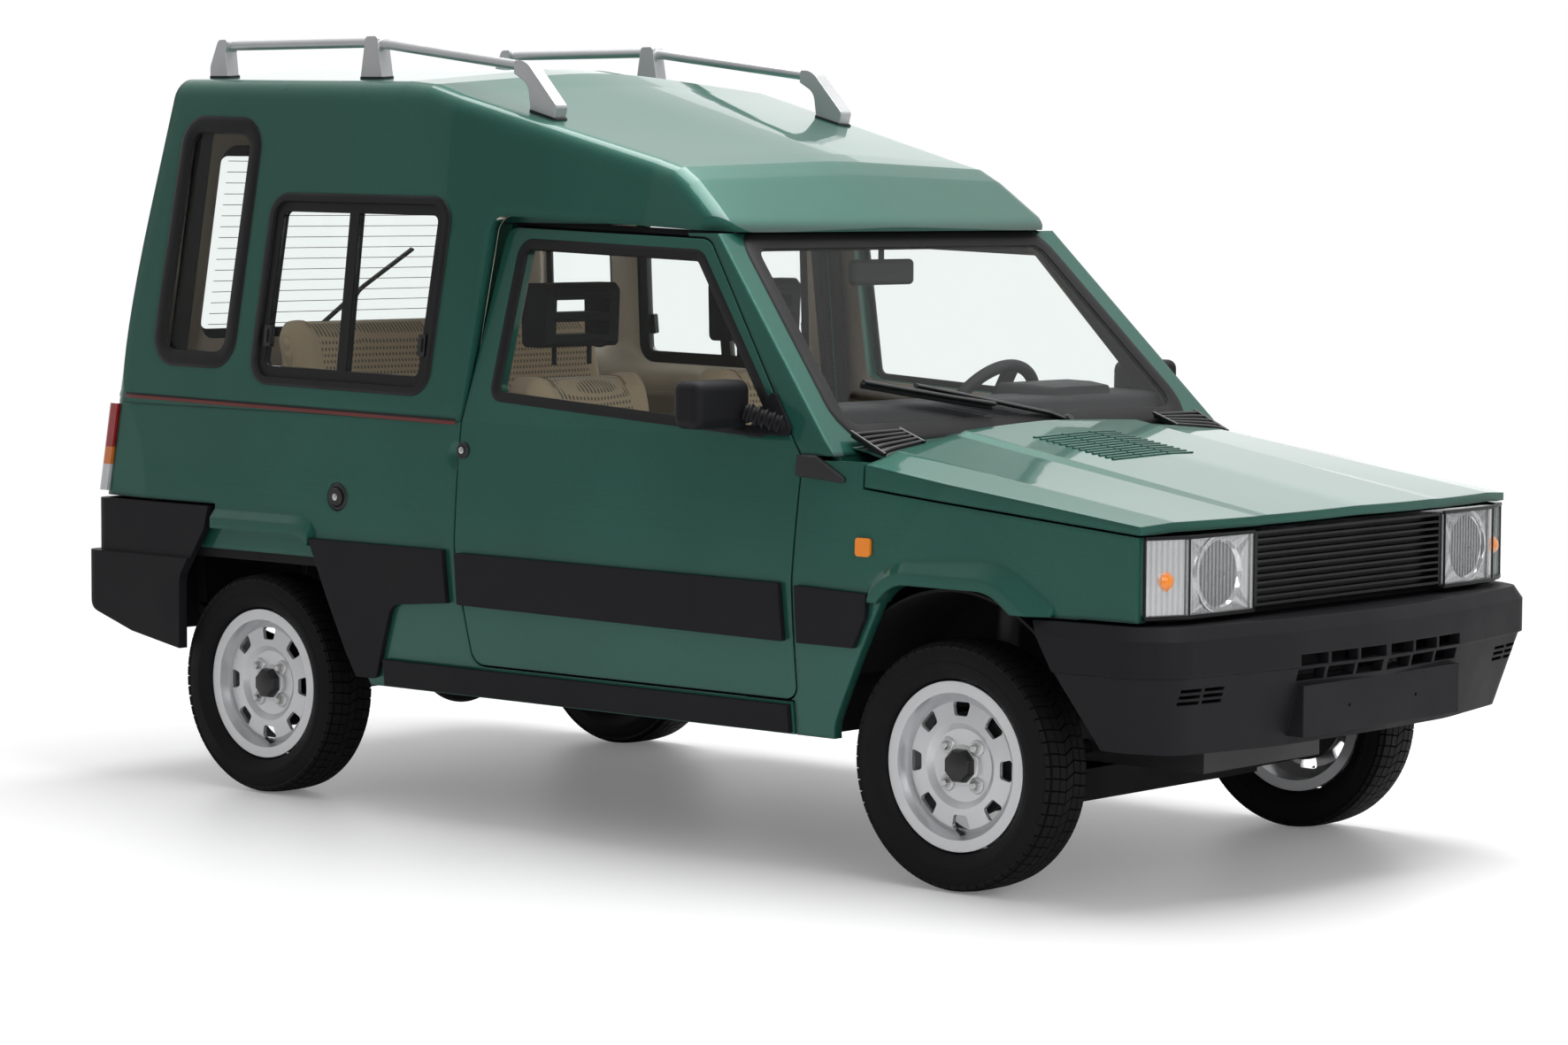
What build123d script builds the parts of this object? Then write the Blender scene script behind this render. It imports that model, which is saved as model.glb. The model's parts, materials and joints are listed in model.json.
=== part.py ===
from build123d import *
import math
import os

# Four-wheel-drive city car with a tall moulded roof.
# Millimetres: X forward, Y left, Z up, origin on the ground under mid-length.

# Layout
LENGTH = 3408
WHEELBASE = 2170
FRONT_OVERHANG = 640
TRACK = 1256
FRONT_X = LENGTH / 2
REAR_X = -LENGTH / 2
FRONT_AXLE_X = FRONT_X - FRONT_OVERHANG
REAR_AXLE_X = FRONT_AXLE_X - WHEELBASE

# Fits
SHUT_GAP = 5
SEAT_GAP = 0.3
SEAM = 0.8
REACH = 900

# Wheels
TYRE_R = 268
TYRE_HALF = 72
TYRE_SIDES = 56
TREAD_HALF = 52
SHOULDER_R = 254
SHOULDER_HALF = 66
WALL_R = 222
WALL_FOOT_R = 204
RIM_LIP_R = 182
BEAD_R = 165
BARREL_R = 157
RIM_HALF = 52
FLANGE = 6
VENT_COUNT = 8
VENT_IN_R = 106
VENT_OUT_R = 136
VENT_IN_HALF = 17
VENT_OUT_HALF = 25
HUB_BORE_R = 29
WHEEL_Y = TRACK / 2
AXLE_Z = TYRE_R

# Body section, half widths at heights
SILL_Z = 300
SILL_HALF = 700
WIDE_Z = 640
WIDE_HALF = 722
BELT_Z = 940
BELT_HALF = 712
CAB_TOP_Z = 1400
CAB_TOP_HALF = 604
TAIL_X = REAR_X + 72
TAIL_Z = 955
TAIL_SLOPE = 0.194
TAIL_HALF = 706
TAIL_CORNER_R = 55
NOSE_TAPER_X = 900
NOSE_X = FRONT_X - 144
NOSE_HALF = 694
SKIN = 26

# Tall roof
ROOF_Z = BELT_Z + SEAT_GAP
ROOF_HALF = 714
ROOF_LEAN = 0.1228
ROOF_TOP_Z = 1798
ROOF_CAMBER = 52
ROOF_SHOULDER_R = 55
ROOF_SLOPE_X = -598
ROOF_SLOPE_Z = ROOF_TOP_Z - 20
CREST_X = 150
CREST_Z = ROOF_TOP_Z - 246
CREST_LEAN = 0.242
BROW_X = 352
BROW_Z = 1392
BROW_CAMBER = 14
BROW_CORNER_HALF = 540
BROW_CORNER_R = 70
BROW_SWEEP_X = -158
ROOF_WALL = 28

# Windscreen plane
SCREEN_X = 705
SCREEN_Z = 965
SCREEN_SLOPE = 0.92
SCREEN_TOP_Z = 1372
SCREEN_FOOT_Z = 948
SCREEN_TOP_HALF = 532
SCREEN_FOOT_HALF = 632
SCREEN_FRAME = 28
GLASS = 6

# Doors
DOOR = 48
SEAL_OVERLAP = 16
SEAL = 14
DOOR_OUTLINE = [
    (-345, 378), (-396, 640), (-381, 940), (-334, 1390),
    (298, 1370), (662, 905), (638, 640), (646, 378),
]
DOOR_RADII = [40, 260, 260, 34, 46, 60, 260, 30]
DOOR_GLASS = [(-300, 998), (-282, 1358), (278, 1340), (606, 946)]
DOOR_GLASS_RADII = [30, 34, 40, 30]
RECESS_FOOT_X = -391
RECESS_REAR_X = -350
RECESS_TOP_Z = 1418
RECESS_FRONT_X = 378
RECESS_FRONT_Z = 1384

# Mouldings and mirrors
CLAD = 14
MOULDING_TOP_Z = 636
MOULDING_FOOT_Z = 510
MIRROR = (80, 176, 104)
MIRROR_AT = (470, -792, 1016)
MIRROR_R = 22

# Openings in the tall roof
TALL_WINDOW = [(-1474, 1053), (-1425, 1638), (-1164, 1630), (-1201, 1050)]
TALL_WINDOW_R = 60
SLIDE_WINDOW = [(-1110, 1018), (-1082, 1450), (-487, 1444), (-515, 1008)]
SLIDE_WINDOW_R = 46
SLIDE_SPLIT_X = -805
SLIDE_FRAME = 30
MULLION_HALF = 16

# Wheel arches, outlines about the axle
ARCH_TOP_Z = 650
FRONT_ARCH = [
    (-324, 150), (-316, 330), (-212, 534), (-150, ARCH_TOP_Z),
    (130, ARCH_TOP_Z), (250, 560), (330, 330), (330, 150),
]
FRONT_ARCH_RADII = [0, 90, 160, 90, 110, 120, 60, 0]
REAR_ARCH = [
    (440, 180), (279, 490), (226, ARCH_TOP_Z - 4), (-170, ARCH_TOP_Z - 4), (-262, 500), (-280, 180),
]
REAR_ARCH_RADII = [0, 160, 90, 90, 120, 0]
BROW_IN = 26
BROW_OUT = 92
BROW_Y = 738
HOUSE = 6
LINER_R = 345
LINER_Z = 300
LINER_IN_Y = 385
LINER = 6
TOWER_R = 78
TOWER_Y = 476

# Fuel filler and finger scoop
FILLER_X = -794
FILLER_Z = 744
FILLER_R = 34
FILLER_DEPTH = 9
SCOOP_X = -388
SCOOP_Z = 862
SCOOP_R = 56
SCOOP_DEPTH = 18

# Tailgate and tail lamps
GATE_HALF = 540
GATE_FOOT_Z = 708
GATE_TOP_Z = 1650
GATE = 40
GATE_GLASS_HALF = 478
GATE_GLASS_FOOT_Z = 1092
GATE_GLASS_TOP_Z = 1582
TAIL_LAMP_FOOT_Z = 716
TAIL_LAMP_TOP_Z = BELT_Z - 4
TAIL_LAMP_IN_Y = 572
TAIL_LAMP_DEPTH = 34
TAIL_LAMP_PROUD = 6
TAIL_LAMP_R = 16

# Bonnet, half width and height of each fold at the rear and front sections
BONNET_REAR_X = 780
BONNET_CORNER_X = 842
BONNET_FRONT_X = FRONT_X - 88
BONNET_FRONT_CORNER_X = FRONT_X - 144
BONNET_FRONT_HALF = 645
BONNET_FOLDS_REAR = [(720, 918), (600, 944), (350, 962), (318, 972), (0, 980)]
BONNET_FOLDS_FRONT = [(720, 790), (600, 799), (350, 804), (318, 805.5), (0, 811)]
BONNET_FOLD_RADII = [0, 150, 30, 30, 1500, 30, 30, 150, 0]
BONNET = 20
SCUTTLE_FRONT_X = 865
SCUTTLE_Z = 848
SCUTTLE = 16
LAMP_TOP_Z = 779
LAMP_FOOT_Z = 617
LAMP_IN_Y = 364
LAMP_BOWL_Y = 472
LAMP_BOWL_R = 90
LAMP_BOWL_DEPTH = 40
FRONT_PANEL_X = FRONT_X - 164
PANEL = 12
PANEL_FOOT_HALF = 600

# Bumpers
BUMPER_PLAN = [(444, 734), (164, 726), (72, 668), (18, 330), (-1.78, 0)]
BUMPER_TOP_Z = 600
BUMPER_FOOT_Z = 330
BUMPER_STEP_Z = 498
BUMPER_STEP = 6
BUMPER_BEVEL = 14
BUMPER_TUCK = 40
BUMPER_DECK = 24
BUMPER = 26
PLATE_FACE_X = FRONT_X - 16
PLATE_PAD = 40
PLATE_HALF = 300
PLATE_FOOT_Z = 350
PLATE_TOP_Z = 458
PLATE_HOLE_SPACING = 256
PLATE_HOLE_R = 4
PLATE_HOLE_Z = 404
REAR_BUMPER_TOP_Z = 698
REAR_BUMPER_STEP_Z = 566
REAR_BUMPER_FOOT_Z = 340
REAR_BUMPER_HALF = 740
REAR_BUMPER = 46
REAR_BUMPER_R = 40

# Grille
GRILLE_HALF = 360
GRILLE_X = FRONT_X - 104
GRILLE_FOOT_Z = 622
SLAT_COUNT = 10
SLAT_PITCH = 15
SLAT_GAP = 10
SLAT_DEPTH = 25

# Roof rails, heights over the roof's top
RAIL_R = 12
RAIL_LINE = [(-1432, 500, 30), (-900, 488, 30), (-372, 504, -36)]
RAIL_BEND_R = 900
RAIL_FOOT_HALF = 19

# Engine bay
ENGINE_REAR_X = 985
RAIL_IN_Y = 325
RAIL_Z = 350
RAIL_TOP_Z = 430
TOE_X = 690

# Steering
KING_TOP = (470, 780)
KING_FOOT = (590, 190)
KING_PIN_R = 9
STEER_ARM = 110
RACK_X = FRONT_AXLE_X - STEER_ARM
RACK_Z = 318
RACK_R = 11
TIE_Y = 528
TIE_EYE_R = 14
BALL_BOSS_R = 13
ARM_FOOT_Z = 162
ARM_TOP_Z = 182
WHEEL_RIM_R = 184
WHEEL_GRIP_R = 15
COLUMN_X = 330
COLUMN_Y = 330
COLUMN_Z = 915
COLUMN_ANGLE = 28
COLUMN_R = 32
HUB_R = 48
HUB_DEPTH = 21

# Drive line
SHAFT_R = 16
BOOT_R = 40
BOOT_Y = 480
PROPSHAFT_R = 26
PROPSHAFT_Z = 250
DIFF_R = 105

# Rear springs
SPRING_Y = 460
SPRING_HALF = 30
SPRING_REAR_X = -1560
SPRING_FRONT_X = -660
SPRING_END_Z = 424
SPRING_MID_Z = 306
SPRING = 24
HANGER = 34

# Cabin
RISER_X = -618
REAR_PANEL_X = -1574
FLOOR_Z = 324
FLOOR = 22
DECK_Z = 592
SEAT_Y = 330
SEAT_HALF = 232
REAR_SEAT_HALF = 560
HEAD_HALF = 125


def face_of(points, radii=0):
    if radii:
        return make_face(FilletPolyline(*points, radius=radii, close=True)).face()
    return make_face(Polyline(*points, close=True)).face()


def side_prism(points, y0, y1, radii=0):
    face = face_of([(x, y0, z) for x, z in points], radii)
    return Solid.extrude(face, Vector(0, y1 - y0, 0))


def cross_prism(points, x0, x1, radii=0):
    face = face_of([(x0, y, z) for y, z in points], radii)
    return Solid.extrude(face, Vector(x1 - x0, 0, 0))


def plan_prism(points, z0, z1, radii=0):
    face = face_of([(x, y, z0) for x, y in points], radii)
    return Solid.extrude(face, Vector(0, 0, z1 - z0))


def grown_face(points, radii, grow, y):
    face = face_of([(x, y, z) for x, z in points], radii)
    return offset(face, amount=grow, kind=Kind.ARC).face() if grow else face


def grown_side_prism(points, radii, grow, y0, y1):
    return Solid.extrude(grown_face(points, radii, grow, y0), Vector(0, y1 - y0, 0))


def block(x0, x1, y0, y1, z0, z1):
    return Pos((x0 + x1) / 2, (y0 + y1) / 2, (z0 + z1) / 2) * Box(x1 - x0, y1 - y0, z1 - z0)


def rod(start, end, radius):
    a, b = Vector(*start), Vector(*end)
    plane = Plane(origin=a, z_dir=(b - a).normalized())
    return Solid.extrude(make_face(plane * Circle(radius).edge()).face(), b - a)


def other_side(shape):
    return mirror(shape, about=Plane.XZ)


def pair(shape):
    return Compound(children=[*shape.solids(), *other_side(shape).solids()])


def joined(*shapes):
    total = shapes[0]
    for shape in shapes[1:]:
        total = total + shape
    return total


def set_of(*shapes):
    return Compound(children=[s for shape in shapes for s in shape.solids()])


# Outer envelopes
def tail_prism(inset, corner):
    half = [TAIL_HALF, WIDE_HALF + 4, WIDE_HALF + 4, NOSE_HALF, NOSE_HALF - 14]
    xs = [TAIL_X + inset, -1400, NOSE_TAPER_X, NOSE_X, NOSE_X + 240]
    right = [(x, inset - y) for x, y in zip(xs, half)]
    points = right + [(x, -y) for x, y in right[::-1]]
    radii = [corner, 600, 900, 0, 0, 0, 0, 900, 600, corner]
    drop = 800
    rise = 950
    foot = [(x - TAIL_SLOPE * drop, y, TAIL_Z - drop) for x, y in points]
    return Solid.extrude(face_of(foot, radii), Vector(TAIL_SLOPE * (drop + rise), 0, drop + rise))


def corner_inside(inset):
    return max(TAIL_CORNER_R - inset, 4)


def cab_block(inset):
    x0 = REAR_X - 100
    s, w, b, t = [v - inset for v in (SILL_HALF, WIDE_HALF, BELT_HALF, CAB_TOP_HALF)]
    loop = [
        Line((x0, -s, SILL_Z), (x0, s, SILL_Z)),
        ThreePointArc((x0, s, SILL_Z), (x0, w, WIDE_Z), (x0, b, BELT_Z)),
        Line((x0, b, BELT_Z), (x0, t, CAB_TOP_Z)),
        Line((x0, t, CAB_TOP_Z), (x0, -t, CAB_TOP_Z)),
        Line((x0, -t, CAB_TOP_Z), (x0, -b, BELT_Z)),
        ThreePointArc((x0, -b, BELT_Z), (x0, -w, WIDE_Z), (x0, -s, SILL_Z)),
    ]
    section = Solid.extrude(make_face(loop).face(), Vector(NOSE_X + 180 - x0, 0, 0))
    return section & tail_prism(inset, corner_inside(inset))


def roof_section(x, top_z, camber, lean, inset):
    def half(z):
        return ROOF_HALF - (z - ROOF_Z) * lean - inset

    z = top_z - inset
    edge_z = z - camber
    shoulder = max(ROOF_SHOULDER_R - inset, 10)
    right = [(-half(edge_z), edge_z), (-half(ROOF_Z), ROOF_Z)]
    points = right + [(-y, pz) for y, pz in right[::-1]] + [(0, z)]
    radii = [shoulder, 0, 0, shoulder, 2500]
    return Wire(FilletPolyline(*[(x, y, pz) for y, pz in points], radius=radii, close=True).edges())


def roof_block(inset):
    stations = [
        (REAR_X - 60, ROOF_TOP_Z, ROOF_CAMBER, ROOF_LEAN),
        (ROOF_SLOPE_X - 90, ROOF_SLOPE_Z + 2, ROOF_CAMBER, ROOF_LEAN),
        (ROOF_SLOPE_X, ROOF_SLOPE_Z - 10, ROOF_CAMBER - 4, ROOF_LEAN),
        (ROOF_SLOPE_X + 100, ROOF_SLOPE_Z - 42, ROOF_CAMBER - 9, ROOF_LEAN),
        (CREST_X - 60, CREST_Z + 15, BROW_CAMBER + 8, CREST_LEAN),
        (CREST_X, CREST_Z - 4, BROW_CAMBER + 5, CREST_LEAN),
        (CREST_X + 50, CREST_Z - 36, BROW_CAMBER + 2, CREST_LEAN),
        (BROW_X + 60, BROW_Z - 44, BROW_CAMBER, CREST_LEAN),
    ]
    solid = Solid.make_loft([roof_section(*station, inset) for station in stations], ruled=True)
    front = BROW_X - inset
    right = [(REAR_X - REACH, -REACH), (BROW_SWEEP_X - inset, -REACH), (front, -BROW_CORNER_HALF)]
    plan = right + [(x, -y) for x, y in right[::-1]]
    brow = plan_prism(plan, 0, ROOF_TOP_Z + 400, [0, 0, BROW_CORNER_R, BROW_CORNER_R, 0, 0])
    return solid & tail_prism(inset, corner_inside(inset)) & brow


cab_blocks = {}
roof_blocks = {}


def cab(inset):
    if inset not in cab_blocks:
        cab_blocks[inset] = cab_block(inset)
    return cab_blocks[inset]


def tall_roof(inset):
    if inset not in roof_blocks:
        roof_blocks[inset] = roof_block(inset)
    return roof_blocks[inset]


CAB_SHELL = cab(0) - cab(SKIN)


def screen_x(z):
    return SCREEN_X - SCREEN_SLOPE * (z - SCREEN_Z)


def tail_x(z):
    return TAIL_X + TAIL_SLOPE * (z - TAIL_Z)


def door_prism(grow=0):
    return grown_side_prism(DOOR_OUTLINE, DOOR_RADII, grow, -REACH, -1)


def front_arch(grow=0):
    outline = [(FRONT_AXLE_X + x, z) for x, z in FRONT_ARCH]
    return grown_side_prism(outline, FRONT_ARCH_RADII, grow, -REACH, -500)


def rear_arch(grow=0):
    outline = [(REAR_AXLE_X + x, z) for x, z in REAR_ARCH]
    return grown_side_prism(outline, REAR_ARCH_RADII, grow, -REACH, -500)


def arch_brow(axle_x, arch, radii):
    outline = [(axle_x + x, z) for x, z in arch]
    rim = grown_face(outline, radii, BROW_IN, -BROW_Y).outer_wire()
    root = grown_face(outline, radii, BROW_OUT, SKIN - WIDE_HALF + 10).outer_wire()
    return Solid.make_loft([rim, root], ruled=True)


def tail_slab(near, far):
    foot, top = GATE_FOOT_Z - 40, GATE_TOP_Z + 60
    points = [
        (tail_x(foot) + near, foot), (tail_x(top) + near, top),
        (tail_x(top) + far, top), (tail_x(foot) + far, foot),
    ]
    return side_prism(points, -REACH, REACH)


def gate_prism(grow=0):
    half, foot, top = GATE_HALF + grow, GATE_FOOT_Z - grow, GATE_TOP_Z + grow
    points = [(-half, foot), (-half, top), (half, top), (half, foot)]
    return cross_prism(points, REAR_X - 60, -1300, [20, 40, 40, 20])


nodes = {}

# Floor: front pan, riser, rear deck, toe board up to the scuttle, and the spring hangers
toe_inner_x = TOE_X - FLOOR
pan = side_prism(
    [
        (TOE_X, FLOOR_Z - FLOOR), (TOE_X, SCUTTLE_Z), (toe_inner_x, SCUTTLE_Z), (toe_inner_x, FLOOR_Z),
        (RISER_X, FLOOR_Z), (RISER_X, DECK_Z), (REAR_PANEL_X, DECK_Z), (REAR_PANEL_X, DECK_Z - FLOOR),
        (RISER_X - FLOOR, DECK_Z - FLOOR), (RISER_X - FLOOR, FLOOR_Z - FLOOR),
    ],
    -REACH, REACH,
) & cab(SKIN + SEAT_GAP)


def spring_hanger(x0, x1):
    return block(x0, x1, SPRING_Y - SPRING_HALF - 2, SPRING_Y + SPRING_HALF + 2, SPRING_END_Z, DECK_Z - FLOOR)


hanger = joined(
    spring_hanger(SPRING_REAR_X, SPRING_REAR_X + HANGER),
    spring_hanger(SPRING_FRONT_X - HANGER, SPRING_FRONT_X),
)
nodes["floor_pan"] = joined(pan, hanger, other_side(hanger))

# Outer sides behind the doors, with the sills, arch brows, filler recess and finger scoop
quarter_foot_z = REAR_BUMPER_TOP_Z + 7
quarter_zone = side_prism(
    [
        (REAR_X - 60, quarter_foot_z), (-1230, quarter_foot_z), (-1230, 560), (-840, 560),
        (-700, SILL_Z - 1), (634, SILL_Z - 1), (634, BELT_Z), (REAR_X - 60, BELT_Z),
    ],
    -REACH, -GATE_HALF - SHUT_GAP,
)
quarter = CAB_SHELL & quarter_zone
rear_brow_zone = block(-1232, -884, -REACH, -500, 606, BELT_Z)
quarter = quarter + (arch_brow(REAR_AXLE_X, REAR_ARCH, REAR_ARCH_RADII) & rear_brow_zone)
quarter = quarter - door_prism(SHUT_GAP) - rear_arch()
quarter = quarter - block(500, 700, -REACH, -1, 372, 960)
house_zone = block(REAR_X, RISER_X, -REACH, -500, DECK_Z + SEAT_GAP, BELT_Z)
house_plate = (cab(SKIN - HOUSE) - cab(SKIN + HOUSE)) & rear_arch(2 * HOUSE) & house_zone
quarter = quarter + house_plate
quarter = quarter - Pos(SCOOP_X, -WIDE_HALF - SCOOP_R + SCOOP_DEPTH, SCOOP_Z) * Sphere(SCOOP_R)


def tail_lamp_zone(grow):
    low, high = TAIL_LAMP_FOOT_Z - grow, TAIL_LAMP_TOP_Z + grow
    depth = TAIL_LAMP_DEPTH + grow
    rear, front = tail_x(low) - 80, tail_x(low) + depth
    lean = TAIL_SLOPE * (high - low)
    points = [(rear, low), (front, low), (front + lean, high), (rear + lean, high)]
    return side_prism(points, -REACH, grow - TAIL_LAMP_IN_Y)


lamp_hull = tail_prism(-TAIL_LAMP_PROUD, TAIL_LAMP_R)
quarter = quarter - tail_lamp_zone(SEAM)
filler_floor = (FILLER_X, FILLER_DEPTH - WIDE_HALF, FILLER_Z)
filler_recess = rod((FILLER_X, -REACH, FILLER_Z), filler_floor, FILLER_R)
nodes["side_panels"] = set_of(quarter - filler_recess, other_side(quarter))
nodes["tail_lamps"] = pair((lamp_hull - cab(TAIL_LAMP_DEPTH)) & tail_lamp_zone(0))

# Front wings with their arch brows
wing_zone = side_prism(
    [
        (630, SILL_Z - 1), (1400, SILL_Z - 1), (1400, 607), (1546, 607), (1546, 782), (836, 846), (836, 902),
        (630, 902),
    ],
    -REACH, -500,
)
wing = CAB_SHELL & wing_zone
front_brow_zone = block(866, 1340, -REACH, -500, 607, 780)
wing = wing + (arch_brow(FRONT_AXLE_X, FRONT_ARCH, FRONT_ARCH_RADII) & front_brow_zone)
wing = wing - door_prism(SHUT_GAP) - front_arch()
wing = wing - block(1200, 1500, -REACH, -500, 200, 605)
wing = wing - block(600, 640, -REACH, -500, 200, 376)
nodes["front_wings"] = pair(wing)

# Tall roof shell with its window openings and the door recess
roof = tall_roof(0) - tall_roof(ROOF_WALL)
recess = side_prism(
    [
        (RECESS_FOOT_X, ROOF_Z - 60), (RECESS_REAR_X, RECESS_TOP_Z), (RECESS_FRONT_X, RECESS_FRONT_Z),
        (REACH, RECESS_FRONT_Z), (REACH, ROOF_Z - 60),
    ],
    -REACH, REACH, [0, 40, 0, 0, 0],
)
roof = roof - recess
for window, radius in ((TALL_WINDOW, TALL_WINDOW_R), (SLIDE_WINDOW, SLIDE_WINDOW_R)):
    roof = roof - side_prism(window, -REACH, REACH, radius)
nodes["high_roof"] = roof - gate_prism(SHUT_GAP)

# Cab frame: screen surround, front pillars, header, cant rails and centre posts
frame_foot_z = 912
frame_top_z = RECESS_FRONT_Z - 1
slab = side_prism(
    [
        (screen_x(900), 900), (screen_x(1400), 1400), (screen_x(1400) - SCREEN_FRAME, 1400),
        (screen_x(900) - SCREEN_FRAME, 900),
    ],
    -REACH, REACH,
)
surround = slab & cab(0) & block(-100, REACH, -REACH, REACH, frame_foot_z, frame_top_z)


def screen_face(grow):
    right = [
        (screen_x(SCREEN_FOOT_Z), -SCREEN_FOOT_HALF, SCREEN_FOOT_Z),
        (screen_x(SCREEN_TOP_Z), -SCREEN_TOP_HALF, SCREEN_TOP_Z),
    ]
    face = face_of(right + [(x, -y, z) for x, y, z in right[::-1]], 55)
    return offset(face, amount=grow, kind=Kind.ARC).face() if grow else face


inward = Vector(-1, 0, -SCREEN_SLOPE).normalized()
outside = Location(inward * -20)
screen_hole = Solid.extrude(screen_face(-12).moved(outside), inward * 90)
glass_seat = Solid.extrude(screen_face(SEAM).moved(outside), inward * (20 + GLASS + SEAT_GAP))
pillar_zone = side_prism(
    [
        (screen_x(frame_top_z) - 2, frame_top_z), (screen_x(frame_foot_z) - 2, frame_foot_z),
        (screen_x(frame_foot_z) - 150, frame_foot_z), (screen_x(frame_top_z) - 90, frame_top_z),
    ],
    -REACH, -1,
)
pillar = CAB_SHELL & pillar_zone
frame = joined(surround, pillar, other_side(pillar)) - door_prism(SHUT_GAP) - other_side(door_prism(SHUT_GAP))
frame = frame - screen_hole - glass_seat
header = block(200, 306, -540, 540, frame_top_z, 1420)
cant = block(-400, 306, -590, -540, CAB_TOP_Z, 1428)
beams = joined(header, cant, other_side(cant)) & tall_roof(ROOF_WALL + SEAT_GAP)
post_zone = side_prism([(-455, 740), (-400, 1404), (-352, 1404), (-407, 740)], -REACH, -1)
post = ((cab(SKIN + SEAT_GAP) - cab(70)) & post_zone) - door_prism(SEAL_OVERLAP + SEAT_GAP)
nodes["cab_frame"] = set_of(joined(frame, beams), pair(post))
screen_glass = Solid.extrude(screen_face(0), inward * GLASS)

# Rubber seals round the door and tailgate apertures
seal = (cab(SKIN + SEAT_GAP) - cab(DOOR + SEAL)) & door_prism(SEAL_OVERLAP)
seal = seal - door_prism(-SEAL_OVERLAP) - (door_prism(SHUT_GAP) - cab(DOOR + SEAT_GAP)) - pan - frame
gate_ring = gate_prism(SEAL_OVERLAP + SHUT_GAP) - gate_prism(-SEAL_OVERLAP)
gate_seal = tail_slab(ROOF_WALL + SEAT_GAP, GATE + SEAL) & gate_ring
gate_seal = gate_seal - (gate_prism(SHUT_GAP) & tail_slab(-50, GATE + SEAT_GAP))
nodes["aperture_seals"] = set_of(pair(seal), gate_seal)


# Side glass of the tall roof
def wall_slab(near, far):
    top = ROOF_TOP_Z - ROOF_CAMBER
    taper = (top - ROOF_Z) * ROOF_LEAN
    near_y, far_y = near - ROOF_HALF, far - ROOF_HALF
    points = [(near_y, ROOF_Z), (near_y + taper, top), (far_y + taper, top), (far_y, ROOF_Z)]
    return cross_prism(points, TAIL_X, CREST_X)


def slide_prism(grow):
    return grown_side_prism(SLIDE_WINDOW, SLIDE_WINDOW_R, grow, -REACH, -1)


def mullion_zone(half):
    return block(SLIDE_SPLIT_X - half, SLIDE_SPLIT_X + half, -REACH, -1, 900, 1600)


frame_slice = wall_slab(4, 24)
pane_slice = wall_slab(8, 13)
tall_glass = pane_slice & grown_side_prism(TALL_WINDOW, TALL_WINDOW_R, -SEAM, -REACH, -1)
slide_ring = slide_prism(-SEAM) - slide_prism(-SLIDE_FRAME)
mullion = slide_prism(0.1 - SLIDE_FRAME) & mullion_zone(MULLION_HALF)
slide_panes = (pane_slice & slide_prism(-SLIDE_FRAME - SEAT_GAP)) - mullion_zone(MULLION_HALF + SEAT_GAP)
nodes["fixed_glass"] = set_of(screen_glass, pair(tall_glass), pair(slide_panes))
nodes["slide_frames"] = pair(joined(frame_slice & slide_ring, frame_slice & mullion))

# Doors, with mouldings and mirrors
window_cut = side_prism(DOOR_GLASS, -REACH, -1, DOOR_GLASS_RADII)
door = ((cab(0) - cab(DOOR)) & door_prism()) - window_cut
nodes["door_right"] = door
nodes["door_left"] = other_side(door)
door_glass = (cab(10) - cab(15)) & grown_side_prism(DOOR_GLASS, DOOR_GLASS_RADII, -SEAT_GAP, -REACH, -1)
nodes["door_glass_right"] = door_glass
nodes["door_glass_left"] = other_side(door_glass)
clad_shell = cab(-CLAD) - cab(-SEAT_GAP)
moulding_side = [
    (-380, MOULDING_FOOT_Z + 5), (-384, MOULDING_TOP_Z),
    (612, MOULDING_TOP_Z - 4), (622, MOULDING_FOOT_Z - 5),
]
moulding = clad_shell & side_prism(moulding_side, -REACH, -1, 6)
mirror_head = Pos(*MIRROR_AT) * fillet(Box(*MIRROR).edges(), MIRROR_R)
mirror_arm = rod((520, -740, 1000), (606, -692, 968), 18) - cab(-SEAT_GAP)
sail = (cab(-6) - cab(-SEAT_GAP)) & side_prism([(500, 950), (640, 950), (560, 1050)], -REACH, -1, 12)
door_trim = set_of(moulding, joined(mirror_head, mirror_arm, sail))
nodes["door_trim_right"] = door_trim
nodes["door_trim_left"] = other_side(door_trim)


# Bonnet with a raised middle
def bonnet_section(x, folds, inset):
    right = [(-y, z - inset) for y, z in folds]
    over = right + [(-y, z) for y, z in right[-2::-1]]
    top = FilletPolyline(*[(x, y, z) for y, z in over], radius=BONNET_FOLD_RADII[1:-1])
    (y0, z0), (y1, z1) = over[0], over[-1]
    sides = Polyline((x, y1, z1), (x, y1, 500), (x, y0, 500), (x, y0, z0))
    return Wire([*top.edges(), *sides.edges()])


def bonnet_block(inset):
    rear = bonnet_section(690, BONNET_FOLDS_REAR, inset)
    front = bonnet_section(BONNET_FRONT_X + 24, BONNET_FOLDS_FRONT, inset)
    return Solid.make_loft([rear, front], ruled=True)


bonnet_edge = [
    (BONNET_CORNER_X, 660), (BONNET_CORNER_X, 760), (BONNET_FRONT_CORNER_X - 20, 760),
    (BONNET_FRONT_CORNER_X, BONNET_FRONT_HALF),
]
edge_left = [(x, y, 600) for x, y in bonnet_edge]
edge_right = [(x, -y, 600) for x, y in bonnet_edge]
bonnet_plan = make_face(
    [
        *Polyline(*edge_left).edges(),
        ThreePointArc(edge_left[-1], (BONNET_FRONT_X, 0, 600), edge_right[-1]),
        *Polyline(*edge_right[::-1]).edges(),
        ThreePointArc(edge_right[0], (BONNET_REAR_X, 0, 600), edge_left[0]),
    ]
)
bonnet_zone = Solid.extrude(bonnet_plan.face(), Vector(0, 0, 500)) & side_prism(
    [(700, 857), (836, 851), (1546, 787), (FRONT_X, 785), (FRONT_X, 1100), (700, 1100)], -REACH, REACH
)
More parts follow.
